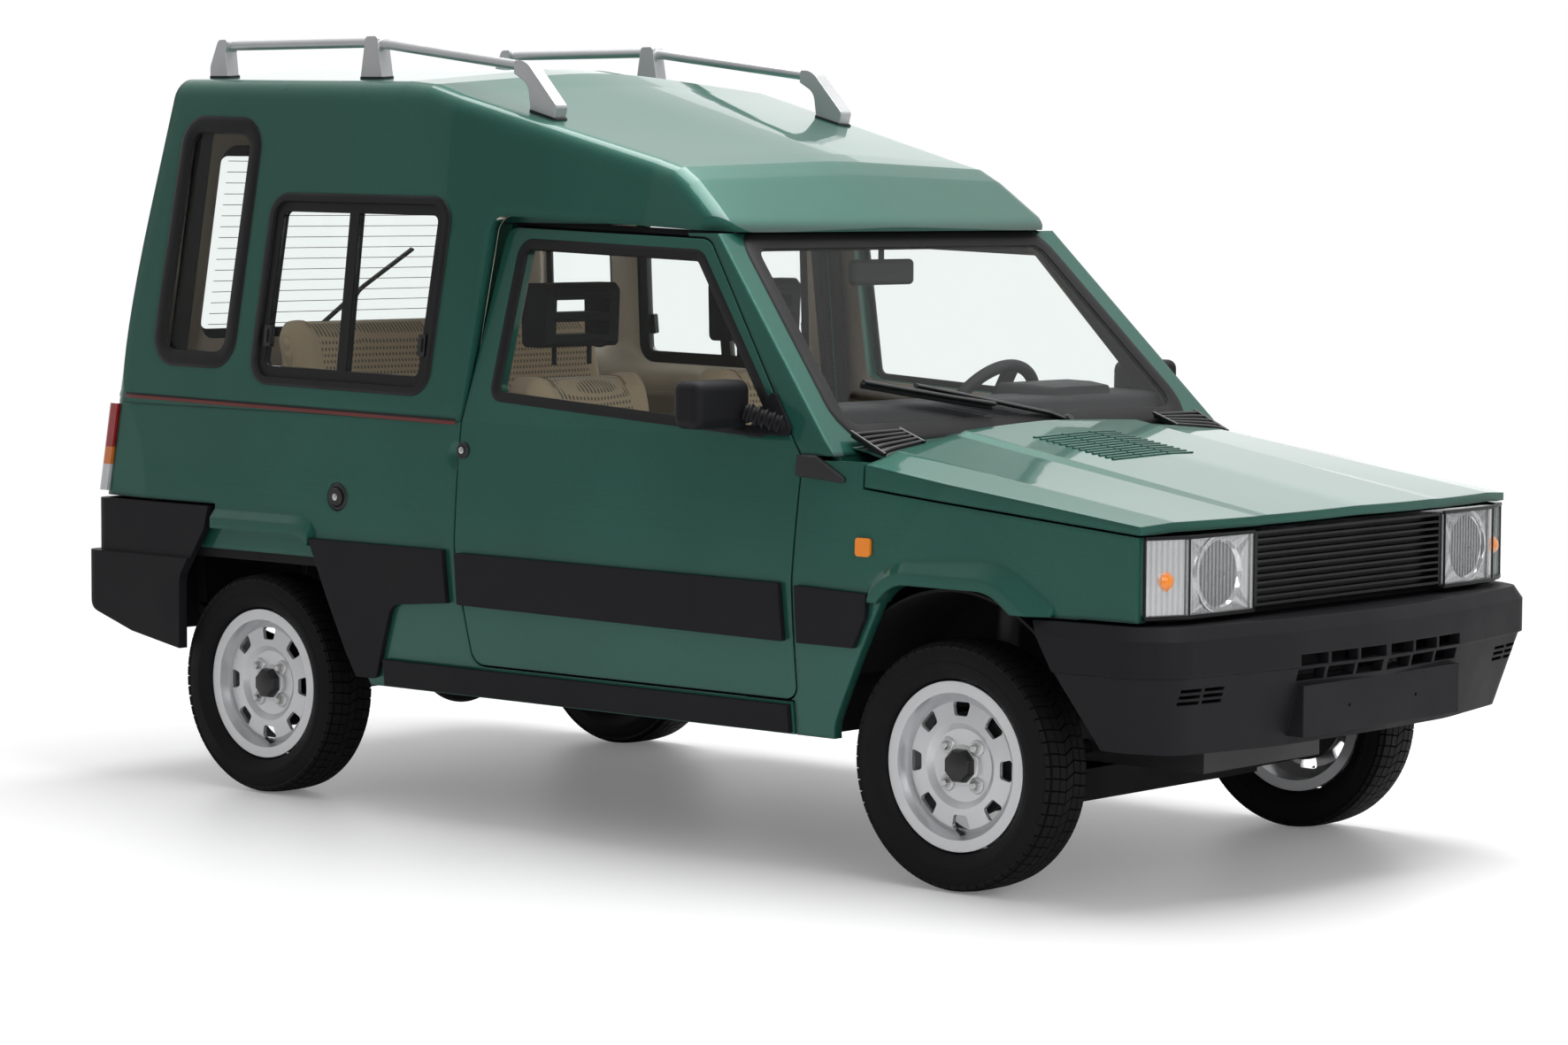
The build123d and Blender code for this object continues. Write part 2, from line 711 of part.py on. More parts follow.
bonnet_shell = (bonnet_block(0) & cab(0)) - (bonnet_block(BONNET) & cab(BONNET))
nodes["bonnet"] = bonnet_shell & bonnet_zone

# Scuttle in front of the screen, with the seal that the bonnet closes on
scuttle_top_z = SCUTTLE_Z + SCUTTLE
screen_foot_x = screen_x(frame_foot_z)
lid_seal = block(SCUTTLE_FRONT_X - 15, SCUTTLE_FRONT_X, -640, 640, scuttle_top_z, 1000)
scuttle = joined(
    block(toe_inner_x, SCUTTLE_FRONT_X, -REACH, REACH, SCUTTLE_Z, scuttle_top_z),
    block(screen_foot_x - 26, screen_foot_x - 4, -REACH, REACH, scuttle_top_z, frame_foot_z),
    lid_seal & bonnet_block(BONNET + SEAM),
) & cab(SKIN + SEAT_GAP)
nodes["scuttle"] = scuttle - seal - other_side(seal)


# Front bumper: bevelled top, stepped face and tucked lower edge
def bumper_ring(z, inset, tuck):
    end, bend, corner, face, middle = [(FRONT_X - back, half) for back, half in BUMPER_PLAN]
    shift = inset + tuck
    right = [(end[0], shift - end[1])]
    right += [(x - shift, shift - y) for x, y in (bend, corner)]
    right += [(face[0] - shift, inset - face[1]), (middle[0] - shift, 0)]
    points = right + [(x, -y) for x, y in right[-2::-1]]
    radii = [0, 120, 90, 900, 1200, 900, 90, 120, 0]
    return Wire(FilletPolyline(*[(x, y, z) for x, y in points], radius=radii, close=True).edges())


def bumper_solid(inset, top, foot):
    rings = [
        bumper_ring(top, inset + BUMPER_BEVEL, 0),
        bumper_ring(BUMPER_TOP_Z - 2 * BUMPER_BEVEL, inset, 0),
        bumper_ring(BUMPER_STEP_Z, inset, 0),
        bumper_ring(BUMPER_STEP_Z - 3, inset + BUMPER_STEP, 0),
        bumper_ring(foot, inset + BUMPER_STEP, BUMPER_TUCK),
    ]
    return Solid.make_loft(rings, ruled=True)


bumper_out = bumper_solid(0, BUMPER_TOP_Z, BUMPER_FOOT_Z)
bumper_in = bumper_solid(BUMPER, BUMPER_TOP_Z + 1, BUMPER_FOOT_Z - 1)
deck_zone = block(FRONT_PANEL_X + 1, FRONT_X + 10, -REACH, REACH, BUMPER_TOP_Z - BUMPER_DECK, BUMPER_TOP_Z)
plate_zone = block(PLATE_FACE_X - PLATE_PAD, PLATE_FACE_X, -PLATE_HALF, PLATE_HALF, PLATE_FOOT_Z, PLATE_TOP_Z)
bumper = joined(bumper_out - bumper_in, bumper_out & deck_zone)
bumper_side = [
    (1298, BUMPER_TOP_Z), (1450, BUMPER_FOOT_Z + 8), (1640, BUMPER_FOOT_Z), (FRONT_X + 1, BUMPER_FOOT_Z + 8),
    (FRONT_X + 1, BUMPER_TOP_Z),
]
bumper = bumper & side_prism(bumper_side, -REACH, REACH)
plate_cut = block(PLATE_FACE_X, FRONT_X + 10, -PLATE_HALF, PLATE_HALF, PLATE_FOOT_Z, PLATE_TOP_Z)
bumper = joined(bumper - plate_cut, plate_zone)
for row in range(2):
    for column in range(6):
        y = -304 + column * 102 + (4 if column > 2 else -4)
        z = 468 + row * 32
        bumper = bumper - block(1600, FRONT_X + 10, y, y + 92, z, z + 24)
for row in range(3):
    for inner in (520, 584):
        z = 440 + row * 13
        slot = block(1520, FRONT_X, -inner - 56, -inner, z, z + 7)
        bumper = bumper - slot - other_side(slot)
for side in (-1, 1):
    y = side * PLATE_HOLE_SPACING / 2
    bumper = bumper - rod((1600, y, PLATE_HOLE_Z), (FRONT_X + 20, y, PLATE_HOLE_Z), PLATE_HOLE_R)
nodes["front_bumper"] = bumper


# Rear bumper: two tiers, the lower one rising to the tail
def rear_tier(x, half, top, foot, corner):
    points = [(-1240, -half), (x, -half), (x, half), (-1240, half)]
    return plan_prism(points, foot, top, [0, corner, corner, 0])


rear_wall_x = REAR_X + REAR_BUMPER
lower_tier = rear_tier(REAR_X, REAR_BUMPER_HALF, REAR_BUMPER_STEP_Z, REAR_BUMPER_FOOT_Z, REAR_BUMPER_R)
upper_foot_z = REAR_BUMPER_STEP_Z - 60
upper_tier = rear_tier(REAR_X + 30, REAR_BUMPER_HALF - 8, REAR_BUMPER_TOP_Z, upper_foot_z, REAR_BUMPER_R)
inner_half = REAR_BUMPER_HALF - BUMPER
tier_hollow = rear_tier(rear_wall_x, inner_half, REAR_BUMPER_TOP_Z + 1, REAR_BUMPER_FOOT_Z - 1, REAR_BUMPER_R)
rear_bumper = joined(lower_tier, upper_tier) - tier_hollow
wheel_cut = [(-1345, 300), (-1345, 520), (-1262, 640), (-1240, 720), (-1200, 720), (-1200, 300)]
rear_bumper = rear_bumper - side_prism(wheel_cut, -REACH, REACH, [0, 70, 60, 0, 0, 0])
chin = [
    (REAR_X - 10, 300), (REAR_X - 10, 500), (REAR_X + 24, 420), (REAR_X + 180, 372),
    (-1340, REAR_BUMPER_FOOT_Z), (-1340, 300),
]
nodes["rear_bumper"] = rear_bumper - side_prism(chin, -REACH, REACH, [0, 0, 60, 0, 0, 0])
stay = block(rear_wall_x, REAR_PANEL_X - 20, 380, 460, 470, 560)
rear_wall = block(REAR_PANEL_X - 26, REAR_PANEL_X, -620, 620, 360, 690)
nodes["rear_panel"] = joined(rear_wall, stay, other_side(stay))

# Front panel behind the grille and lamps
panel_right = [
    (-PANEL_FOOT_HALF, 380), (-PANEL_FOOT_HALF, LAMP_FOOT_Z), (-REACH, LAMP_FOOT_Z), (-REACH, LAMP_TOP_Z),
]
panel_outline = panel_right + [(-y, z) for y, z in panel_right[::-1]]
panel = cross_prism(panel_outline, FRONT_PANEL_X - PANEL, FRONT_PANEL_X) & cab(SKIN + SEAT_GAP)
for z0, z1 in ((450, 590), (640, 750)):
    panel = panel - block(1400, FRONT_X, -300, 300, z0, z1)
nodes["front_panel"] = panel

# Grille and lamps
grille = block(FRONT_PANEL_X, GRILLE_X, -GRILLE_HALF, GRILLE_HALF, GRILLE_FOOT_Z, LAMP_TOP_Z)
slot_half = GRILLE_HALF - 12
for row in range(SLAT_COUNT):
    z = GRILLE_FOOT_Z + 6 + row * SLAT_PITCH
    grille = grille - block(GRILLE_X - SLAT_DEPTH, GRILLE_X + 10, -slot_half, slot_half, z, z + SLAT_GAP)
nodes["grille"] = grille
lamp_face_x = GRILLE_X - 2
lamp_plan = [
    (FRONT_PANEL_X, -LAMP_IN_Y), (lamp_face_x, -LAMP_IN_Y), (1586, -580), (1550, -668), (FRONT_PANEL_X, -660),
]
lamp = plan_prism(lamp_plan, LAMP_FOOT_Z, LAMP_TOP_Z)
bowl_x = lamp_face_x - LAMP_BOWL_DEPTH + LAMP_BOWL_R
bowl = Pos(bowl_x, -LAMP_BOWL_Y, (LAMP_FOOT_Z + LAMP_TOP_Z) / 2) * Sphere(LAMP_BOWL_R)
lens_plan = [(1592, -362), (GRILLE_X + 4, -LAMP_IN_Y), (1594, -582), (1552, -680), (1546, -672), (1585, -579)]
lens = plan_prism(lens_plan, LAMP_FOOT_Z, LAMP_TOP_Z) - lamp
nodes["headlamp_bodies"] = pair(lamp - bowl)
nodes["headlamp_lenses"] = pair(lens)
repeater_side = side_prism([(826, 703), (826, 743), (866, 743), (866, 703)], -REACH, -1, 8)
nodes["side_repeaters"] = pair((cab(-8) - cab(-SEAT_GAP)) & repeater_side)

# Plastic claddings on the lower sides
sill_cover = clad_shell & side_prism([(-640, 304), (-640, 366), (628, 366), (628, 304)], -REACH, -1)
wedge_side = [(-882, 640), (-426, 640), (-416, 516), (-600, 500), (-668, 318), (-740, 318)]
wedge = clad_shell & side_prism(wedge_side, -REACH, -1, [0, 0, 0, 40, 20, 0])
wedge = wedge - rear_arch(2) - door_prism(SHUT_GAP + 2) - sill_cover
wing_strip = clad_shell & side_prism([(650, 505), (648, 630), (862, 624), (850, 505)], -REACH, -1)
wing_strip = wing_strip - front_arch(14) - door_prism(SHUT_GAP + 16)
nodes["side_claddings"] = pair(set_of(sill_cover, wedge, wing_strip))

# Roof rails on three cast feet a side
rail_points = [(x, y, ROOF_TOP_Z + z) for x, y, z in RAIL_LINE]
rail_wire = FilletPolyline(*rail_points, radius=RAIL_BEND_R)
rail = sweep(Plane(origin=rail_wire @ 0, z_dir=rail_wire % 0) * Circle(RAIL_R), path=rail_wire)
(rear_x, rear_y, rear_z), (mid_x, mid_y, mid_z), (front_x, front_y, front_z) = rail_points
over = RAIL_R + 3
rear_foot = [
    (rear_x - 38, rear_z - 110), (rear_x - 38, rear_z - 50), (rear_x - 8, rear_z + over),
    (rear_x + 24, rear_z + over), (rear_x + 18, rear_z - over), (rear_x + 30, rear_z - 110),
]
mid_foot = [
    (mid_x - 42, mid_z - 110), (mid_x - 20, mid_z + over),
    (mid_x + 20, mid_z + over), (mid_x + 42, mid_z - 110),
]
front_foot = [
    (front_x - 22, front_z + over), (front_x + 16, front_z + over), (front_x + 116, front_z - 92),
    (front_x + 100, front_z - 150), (front_x + 40, front_z - 150), (front_x + 24, front_z - 40),
    (front_x - 22, front_z - over),
]
feet = [
    (rear_foot, rear_y, [0, 30, 14, 6, 10, 0]), (mid_foot, mid_y, [0, 10, 10, 0]),
    (front_foot, front_y + 6, [6, 50, 10, 0, 0, 40, 6]),
]
rail_side = rail
for outline, y, radii in feet:
    rail_side = rail_side + side_prism(outline, y - RAIL_FOOT_HALF, y + RAIL_FOOT_HALF, radii)
nodes["roof_rails"] = pair(rail_side - tall_roof(-SEAT_GAP))

# Tailgate
gate_right = [(-GATE_GLASS_HALF, GATE_GLASS_FOOT_Z), (-GATE_GLASS_HALF, GATE_GLASS_TOP_Z)]
gate_window = cross_prism(gate_right + [(-y, z) for y, z in gate_right[::-1]], REAR_X - 50, -1300, 50)
nodes["tailgate"] = (tail_slab(0, GATE) & gate_prism()) - gate_window
nodes["tailgate_glass"] = tail_slab(8, 14) & gate_window

# Dashboard, column and interior mirror
dash_side = [
    (toe_inner_x, 690), (toe_inner_x, SCUTTLE_Z), (648, SCUTTLE_Z), (648, 960), (640, 1004), (500, 1008),
    (470, 930), (500, 760), (560, 690),
]
dash = side_prism(dash_side, -600, 600, [0, 0, 0, 0, 20, 30, 40, 40, 30])
hub_at = Vector(COLUMN_X, COLUMN_Y, COLUMN_Z)
column_axis = Vector(-math.cos(math.radians(COLUMN_ANGLE)), 0, math.sin(math.radians(COLUMN_ANGLE)))
column_foot = hub_at - column_axis * 250
column_head = hub_at - column_axis * (HUB_DEPTH + SEAT_GAP)
column = rod(tuple(column_foot), tuple(column_head), COLUMN_R)
nodes["dashboard"] = joined(dash, column)
nodes["interior_mirror"] = joined(
    fillet(block(270, 298, -110, 110, 1258, 1318).edges(), 12),
    rod((284, 0, 1310), (284, 0, frame_top_z - SEAT_GAP), 7),
)
wheel_plane = Plane(origin=hub_at, z_dir=column_axis)
grip = wheel_plane * Torus(WHEEL_RIM_R - WHEEL_GRIP_R, WHEEL_GRIP_R)
hub = wheel_plane * Pos(0, 0, 17 - HUB_DEPTH) * Cylinder(HUB_R, 34)
spokes = wheel_plane * Pos(0, 0, -6) * Box(2 * (WHEEL_RIM_R - WHEEL_GRIP_R), 46, 14)
nodes["steering_wheel"] = joined(grip, hub, spokes)

# Seats
cushion = side_prism(
    [(150, 430), (176, 540), (150, 572), (-260, 548), (-290, 430)],
    -SEAT_HALF, SEAT_HALF, [20, 30, 30, 20, 20],
)
seat_back = side_prism(
    [(-250, 470), (-236, 560), (-330, 1030), (-350, 1058), (-420, 1062), (-440, 1030), (-350, 470)],
    -SEAT_HALF, SEAT_HALF, [10, 20, 20, 15, 20, 20, 20],
)
base = block(-220, 90, -190, 190, FLOOR_Z, 440)
nodes["front_seats"] = pair(Pos(0, -SEAT_Y, 0) * joined(cushion, seat_back, base))
head_side = [(-362, 1104), (-356, 1240), (-372, 1256), (-430, 1256), (-442, 1240), (-438, 1104)]
head = side_prism(head_side, -HEAD_HALF, HEAD_HALF, [16, 16, 12, 12, 16, 16])
for z in (1134, 1186):
    head = head - block(-500, -300, 35 - HEAD_HALF, HEAD_HALF - 35, z, z + 30)
for y in (-60, 60):
    head = head + rod((-396, y, 1061.2), (-396, y, 1110), 6)
nodes["head_restraints"] = pair(Pos(0, -SEAT_Y, 0) * head)
bench = side_prism(
    [(-660, DECK_Z), (-650, 700), (-690, 724), (-1060, 700), (-1060, DECK_Z)],
    -REAR_SEAT_HALF, REAR_SEAT_HALF, [10, 20, 20, 10, 10],
)
bench_back = side_prism(
    [
        (-1040, DECK_Z), (-1030, 700), (-1140, 1150), (-1160, 1172), (-1215, 1172), (-1232, 1150),
        (-1150, DECK_Z),
    ],
    -REAR_SEAT_HALF, REAR_SEAT_HALF, [0, 10, 20, 15, 15, 20, 0],
)
nodes["rear_seat"] = joined(bench, bench_back)

# Engine and its mounts, side rails and bumper horns
engine_mount = block(1180, 1240, -RAIL_IN_Y, -260, 390, 425)
nodes["engine"] = joined(
    block(ENGINE_REAR_X, 1420, -290, 260, 330, 740), block(ENGINE_REAR_X, 1380, -220, 220, 236, 330),
    engine_mount, other_side(engine_mount),
)
rail_beam = block(TOE_X, FRONT_PANEL_X - PANEL, RAIL_IN_Y, LINER_IN_Y - LINER, RAIL_Z, RAIL_TOP_Z)
cross_tie = block(FRONT_PANEL_X - PANEL - 38, FRONT_PANEL_X - PANEL, -RAIL_IN_Y, RAIL_IN_Y, RAIL_Z, 400)
horn = block(FRONT_PANEL_X, FRONT_X, RAIL_IN_Y, LINER_IN_Y - LINER, 385, RAIL_TOP_Z)
horn = horn & bumper_solid(BUMPER + SEAT_GAP, BUMPER_TOP_Z, BUMPER_FOOT_Z)
pad_x = PLATE_FACE_X - PLATE_PAD - SEAT_GAP
horn = horn - block(pad_x, FRONT_X, 0, PLATE_HALF + 1, PLATE_FOOT_Z, PLATE_TOP_Z)
nodes["front_rails"] = set_of(joined(rail_beam, other_side(rail_beam), cross_tie), horn, other_side(horn))


def king_point(z):
    rise = (z - KING_FOOT[1]) / (KING_TOP[1] - KING_FOOT[1])
    return (FRONT_AXLE_X, -(KING_FOOT[0] + (KING_TOP[0] - KING_FOOT[0]) * rise), z)


# Inner wings with the strut towers
def liner_drum(radius, y0, y1):
    return rod((FRONT_AXLE_X, y0, LINER_Z), (FRONT_AXLE_X, y1, LINER_Z), radius)


def tower_rod(z0, z1, radius):
    return rod((FRONT_AXLE_X, -TOWER_Y, z0), (FRONT_AXLE_X, -TOWER_Y, z1), radius)


tower_hollow = tower_rod(560, 768, TOWER_R - 8)
liner = liner_drum(LINER_R, -685, -LINER_IN_Y) - liner_drum(LINER_R - LINER, -690, -LINER_IN_Y - 1)
liner = joined(liner, liner_drum(LINER_R, -LINER_IN_Y, LINER - LINER_IN_Y))
liner = liner & block(600, 1600, -684, -370, 436, 900)
tower = tower_rod(600, 776, TOWER_R) - tower_hollow - liner_drum(LINER_R - LINER / 2, -735, -335)
liner = joined(liner - tower_hollow, tower) - rod(king_point(700), king_point(820), KING_PIN_R - 1 + SEAT_GAP)
nodes["inner_wings"] = pair(liner)

# Steering knuckles with struts, hubs and brake discs
strut = rod((FRONT_AXLE_X, -524, 330), (FRONT_AXLE_X, -474, 752), 25)
upright = joined(
    block(FRONT_AXLE_X - 34, FRONT_AXLE_X + 34, -566, -530, 196, 352),
    block(FRONT_AXLE_X - 20, FRONT_AXLE_X + 20, -604, -540, 190, 214),
)
hub_stub = rod((FRONT_AXLE_X, -530, AXLE_Z), (FRONT_AXLE_X, -WHEEL_Y - 36, AXLE_Z), HUB_BORE_R - SEAT_GAP)
disc = rod((FRONT_AXLE_X, -626, AXLE_Z), (FRONT_AXLE_X, -614, AXLE_Z), 112)
arm_plan = [
    (FRONT_AXLE_X - 30, -564), (FRONT_AXLE_X - 30, -536), (RACK_X, TIE_EYE_R - TIE_Y),
    (RACK_X - TIE_EYE_R, -TIE_Y), (RACK_X, -TIE_EYE_R - TIE_Y),
]
steer_arm = plan_prism(arm_plan, 270, 288)
stud = rod(king_point(735), king_point(792), KING_PIN_R - 1)
ball_bore = rod(king_point(150), king_point(230), KING_PIN_R + SEAT_GAP)
knuckle = joined(strut, upright, hub_stub, disc, steer_arm, stud) - ball_bore
nodes["knuckle_right"] = knuckle
nodes["knuckle_left"] = other_side(knuckle)

# Rack bar with an eye at each end
eye = Pos(RACK_X, -TIE_Y, RACK_Z) * Cylinder(TIE_EYE_R, 2 * RACK_R + 8)
bar = rod((RACK_X, -TIE_Y, RACK_Z), (RACK_X, TIE_Y, RACK_Z), RACK_R)
nodes["steering_rack"] = joined(bar, eye, other_side(eye))

# Front suspension arms, crossmember and rack housing
arm_mid_z = (ARM_FOOT_Z + ARM_TOP_Z) / 2
ball_x, ball_y, ball_z = king_point(arm_mid_z)
lower_plan = [
    (ball_x - 30, -330), (ball_x - BALL_BOSS_R, ball_y), (ball_x + BALL_BOSS_R, ball_y), (ball_x + 30, -330),
]
lower_arm = plan_prism(lower_plan, ARM_FOOT_Z, ARM_TOP_Z)
lower_arm = joined(lower_arm, Pos(ball_x, ball_y, ball_z) * Cylinder(BALL_BOSS_R, ARM_TOP_Z - ARM_FOOT_Z))
ball_pin = rod(king_point(arm_mid_z - 2), king_point(210), KING_PIN_R)
drop_post = block(FRONT_AXLE_X + 36, FRONT_AXLE_X + 60, -RAIL_IN_Y - 20, -RAIL_IN_Y, 220, RAIL_Z)
arm_side = joined(lower_arm, ball_pin, drop_post)
cross = block(FRONT_AXLE_X - 60, FRONT_AXLE_X + 60, -350, 350, 160, 230)
housing = block(RACK_X - 22, RACK_X + 22, -370, 370, RACK_Z - 22, RAIL_Z)
housing = housing - rod((RACK_X, -400, RACK_Z), (RACK_X, 400, RACK_Z), RACK_R + SEAT_GAP)
nodes["front_suspension"] = set_of(joined(cross, arm_side, other_side(arm_side)), housing)

# Drive shafts and propeller shaft
shaft = rod((FRONT_AXLE_X, 10 - BOOT_Y, AXLE_Z), (FRONT_AXLE_X, -220 - SEAT_GAP, AXLE_Z), SHAFT_R)
boot = rod((FRONT_AXLE_X, -BOOT_Y, AXLE_Z), (FRONT_AXLE_X, 60 - BOOT_Y, AXLE_Z), BOOT_R)
propshaft = rod(
    (REAR_AXLE_X + DIFF_R + SEAT_GAP, 0, PROPSHAFT_Z), (ENGINE_REAR_X - SEAT_GAP, 0, PROPSHAFT_Z), PROPSHAFT_R
)
nodes["drive_shafts"] = set_of(pair(joined(shaft, boot)), propshaft)


# Rear axle on leaf springs
def axle_rod(half, radius):
    return rod((REAR_AXLE_X, -half, AXLE_Z), (REAR_AXLE_X, half, AXLE_Z), radius)


drum = rod((REAR_AXLE_X, -604, AXLE_Z), (REAR_AXLE_X, -556, AXLE_Z), 110)
diff = Pos(REAR_AXLE_X, 0, AXLE_Z) * Sphere(DIFF_R)
end_low_z = SPRING_END_Z - SPRING
rear_low, rear_high = (SPRING_REAR_X, 0, end_low_z), (SPRING_REAR_X, 0, SPRING_END_Z)
front_low, front_high = (SPRING_FRONT_X, 0, end_low_z), (SPRING_FRONT_X, 0, SPRING_END_Z)
leaf = make_face(
    [
        ThreePointArc(rear_low, (REAR_AXLE_X, 0, SPRING_MID_Z), front_low),
        Line(front_low, front_high),
        ThreePointArc(front_high, (REAR_AXLE_X, 0, SPRING_MID_Z + SPRING), rear_high),
        Line(rear_high, rear_low),
    ]
).face()
spring = Solid.extrude(leaf.moved(Location((0, SPRING_Y - SPRING_HALF, 0))), Vector(0, 2 * SPRING_HALF, 0))
spring = spring - block(SPRING_REAR_X - 5, SPRING_REAR_X + 40, 300, 600, SPRING_END_Z - SEAT_GAP, 600)
nodes["rear_axle"] = joined(
    axle_rod(WHEEL_Y + 36, HUB_BORE_R - SEAT_GAP), axle_rod(560, 38), diff, drum, other_side(drum), spring,
    other_side(spring),
)

# Fuel tank and exhaust
nodes["fuel_tank"] = fillet(block(-980, -660, 100, 410, 350, DECK_Z - FLOOR).edges().filter_by(Axis.Z), 40)
pipe_y = -180
pipe_path = Polyline(
    (-1250, pipe_y, 400), (-800, pipe_y, 400), (-690, pipe_y, 270), (ENGINE_REAR_X - SEAT_GAP, pipe_y, 270)
)
pipe_end = Plane(origin=pipe_path @ 0, z_dir=pipe_path % 0)
pipe = sweep(pipe_end * Circle(20), path=pipe_path, transition=Transition.ROUND)
silencer = fillet(block(-1540, -1240, -260, -100, 340, 460).edges().filter_by(Axis.X), 45)
hooks = [rod((x, pipe_y, 450), (x, pipe_y, DECK_Z - FLOOR), 6) for x in (-1500, -1280)]
nodes["exhaust"] = joined(silencer, pipe, *hooks)


# Wheels
def tyre_ring(radius, y):
    points = []
    for k in range(TYRE_SIDES):
        angle = 2 * math.pi * k / TYRE_SIDES - math.pi / 2
        points.append((radius * math.cos(angle), y, radius * math.sin(angle)))
    return Wire(Polyline(*points, close=True).edges())


def tyre_drum(stations):
    return Solid.make_loft([tyre_ring(radius, y) for radius, y in stations], ruled=True)


tyre_right = [(WALL_R, -TYRE_HALF), (SHOULDER_R, -SHOULDER_HALF), (TYRE_R, -TREAD_HALF)]
bead_y = RIM_HALF - FLANGE - SEAT_GAP
bead_ring_r = (BEAD_R + SEAT_GAP) / math.cos(math.pi / TYRE_SIDES)
tyre = tyre_drum(tyre_right + [(r, -y) for r, y in tyre_right[::-1]])
tyre = tyre - tyre_drum([(bead_ring_r, -TYRE_HALF - 5), (bead_ring_r, TYRE_HALF + 5)])
for side in (-1, 1):
    tyre = tyre - tyre_drum([(WALL_FOOT_R, side * TYRE_HALF), (RIM_LIP_R + 3, side * bead_y)])
rim_profile = [
    (RIM_LIP_R, -RIM_HALF), (RIM_LIP_R, FLANGE - RIM_HALF), (BEAD_R, FLANGE - RIM_HALF),
    (BEAD_R, RIM_HALF - FLANGE), (RIM_LIP_R, RIM_HALF - FLANGE), (RIM_LIP_R, RIM_HALF),
    (BARREL_R, RIM_HALF), (BARREL_R - 10, 20), (136, 30), (92, 34), (78, 24), (HUB_BORE_R, 24),
    (HUB_BORE_R, 12), (82, 12), (96, 24), (132, 20), (BARREL_R, 2), (BARREL_R, -RIM_HALF),
]
rim = revolve(face_of([(r, y, 0) for r, y in rim_profile]), axis=Axis.Y)
vent_plan = [
    (VENT_IN_R, -VENT_IN_HALF), (VENT_OUT_R, -VENT_OUT_HALF),
    (VENT_OUT_R, VENT_OUT_HALF), (VENT_IN_R, VENT_IN_HALF),
]
vent = Rot(-90, 0, 0) * plan_prism(vent_plan, -RIM_HALF - 8, RIM_HALF + 8, 7)
for k in range(VENT_COUNT):
    rim = rim - Rot(0, 360 / VENT_COUNT * k, 0) * vent
for end, x in (("front", FRONT_AXLE_X), ("rear", REAR_AXLE_X)):
    for hand, y, turn in (("right", -WHEEL_Y, 180), ("left", WHEEL_Y, 0)):
        place = Pos(x, y, AXLE_Z) * Rot(0, 0, turn)
        nodes["tyre_" + end + "_" + hand] = place * tyre
        nodes["rim_" + end + "_" + hand] = place * rim

os.makedirs("parts", exist_ok=True)
for name, shape in nodes.items():
    export_step(shape, "parts/" + name + ".step")
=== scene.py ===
import bpy
import bmesh
import json
import math
from mathutils import Matrix, Vector
from mathutils.bvhtree import BVHTree


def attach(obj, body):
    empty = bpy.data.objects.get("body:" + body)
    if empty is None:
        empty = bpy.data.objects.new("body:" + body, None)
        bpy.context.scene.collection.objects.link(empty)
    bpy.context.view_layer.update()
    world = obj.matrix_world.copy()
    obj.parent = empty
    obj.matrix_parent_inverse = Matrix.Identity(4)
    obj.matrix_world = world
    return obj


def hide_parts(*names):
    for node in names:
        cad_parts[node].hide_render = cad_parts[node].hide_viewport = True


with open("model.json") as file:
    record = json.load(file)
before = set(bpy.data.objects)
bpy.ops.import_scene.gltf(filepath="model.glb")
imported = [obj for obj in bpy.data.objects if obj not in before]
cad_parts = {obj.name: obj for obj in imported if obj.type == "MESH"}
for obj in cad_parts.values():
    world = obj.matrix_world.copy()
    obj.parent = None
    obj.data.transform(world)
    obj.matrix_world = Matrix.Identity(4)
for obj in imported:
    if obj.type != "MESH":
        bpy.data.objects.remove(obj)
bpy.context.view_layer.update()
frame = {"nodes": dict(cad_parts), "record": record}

nodes = frame["nodes"]
scene = bpy.context.scene
print("frame loaded, pieces:", len(nodes))


# shader building blocks
def newGroup(name, inputs, outputs):
    kinds = {"Color": "NodeSocketColor", "Tint": "NodeSocketColor", "Normal": "NodeSocketVector"}
    group = bpy.data.node_groups.new(name, "ShaderNodeTree")
    for way, labels in (("INPUT", inputs), ("OUTPUT", outputs)):
        for label in labels:
            kind = kinds.get(label, "NodeSocketFloat")
            sock = group.interface.new_socket(label, in_out=way, socket_type=kind)
            if way == "INPUT":
                sock.default_value = inputs[label]
    return group, group.nodes.new("NodeGroupInput"), group.nodes.new("NodeGroupOutput")


def addNode(tree, kind, **settings):
    node = tree.nodes.new("ShaderNode" + kind)
    for key, value in settings.items():
        if key.startswith("in_"):
            node.inputs[key[3:].replace("_", " ")].default_value = value
        else:
            setattr(node, key, value)
    return node


def wire(tree, source, outlet, target, inlet):
    tree.links.new(source.outputs[outlet], target.inputs[inlet])


def objectSpace(tree, *targets):  # the piece's own coordinates into each target
    coord = addNode(tree, "TexCoord")
    for target in targets:
        wire(tree, coord, "Object", target, "Vector")


def setInputs(node, values):
    for key, value in values.items():
        node.inputs[key.replace("_", " ")].default_value = value


def mathNode(tree, operation, first, second=None):
    node = addNode(tree, "Math", operation=operation)
    for slot, value in enumerate((first, second)):
        if value is None:
            continue
        if isinstance(value, (int, float)):
            node.inputs[slot].default_value = value
        else:
            tree.links.new(value, node.inputs[slot])
    return node.outputs[0]


def mixColor(tree, factor, first, second, blend="MIX"):
    node = addNode(tree, "Mix", data_type="RGBA", blend_type=blend)
    for sock, value in (("Factor", factor), ("A", first), ("B", second)):
        if isinstance(value, (int, float, tuple)):
            node.inputs[sock].default_value = value
        else:
            tree.links.new(value, node.inputs[sock])
    return node.outputs["Result"]


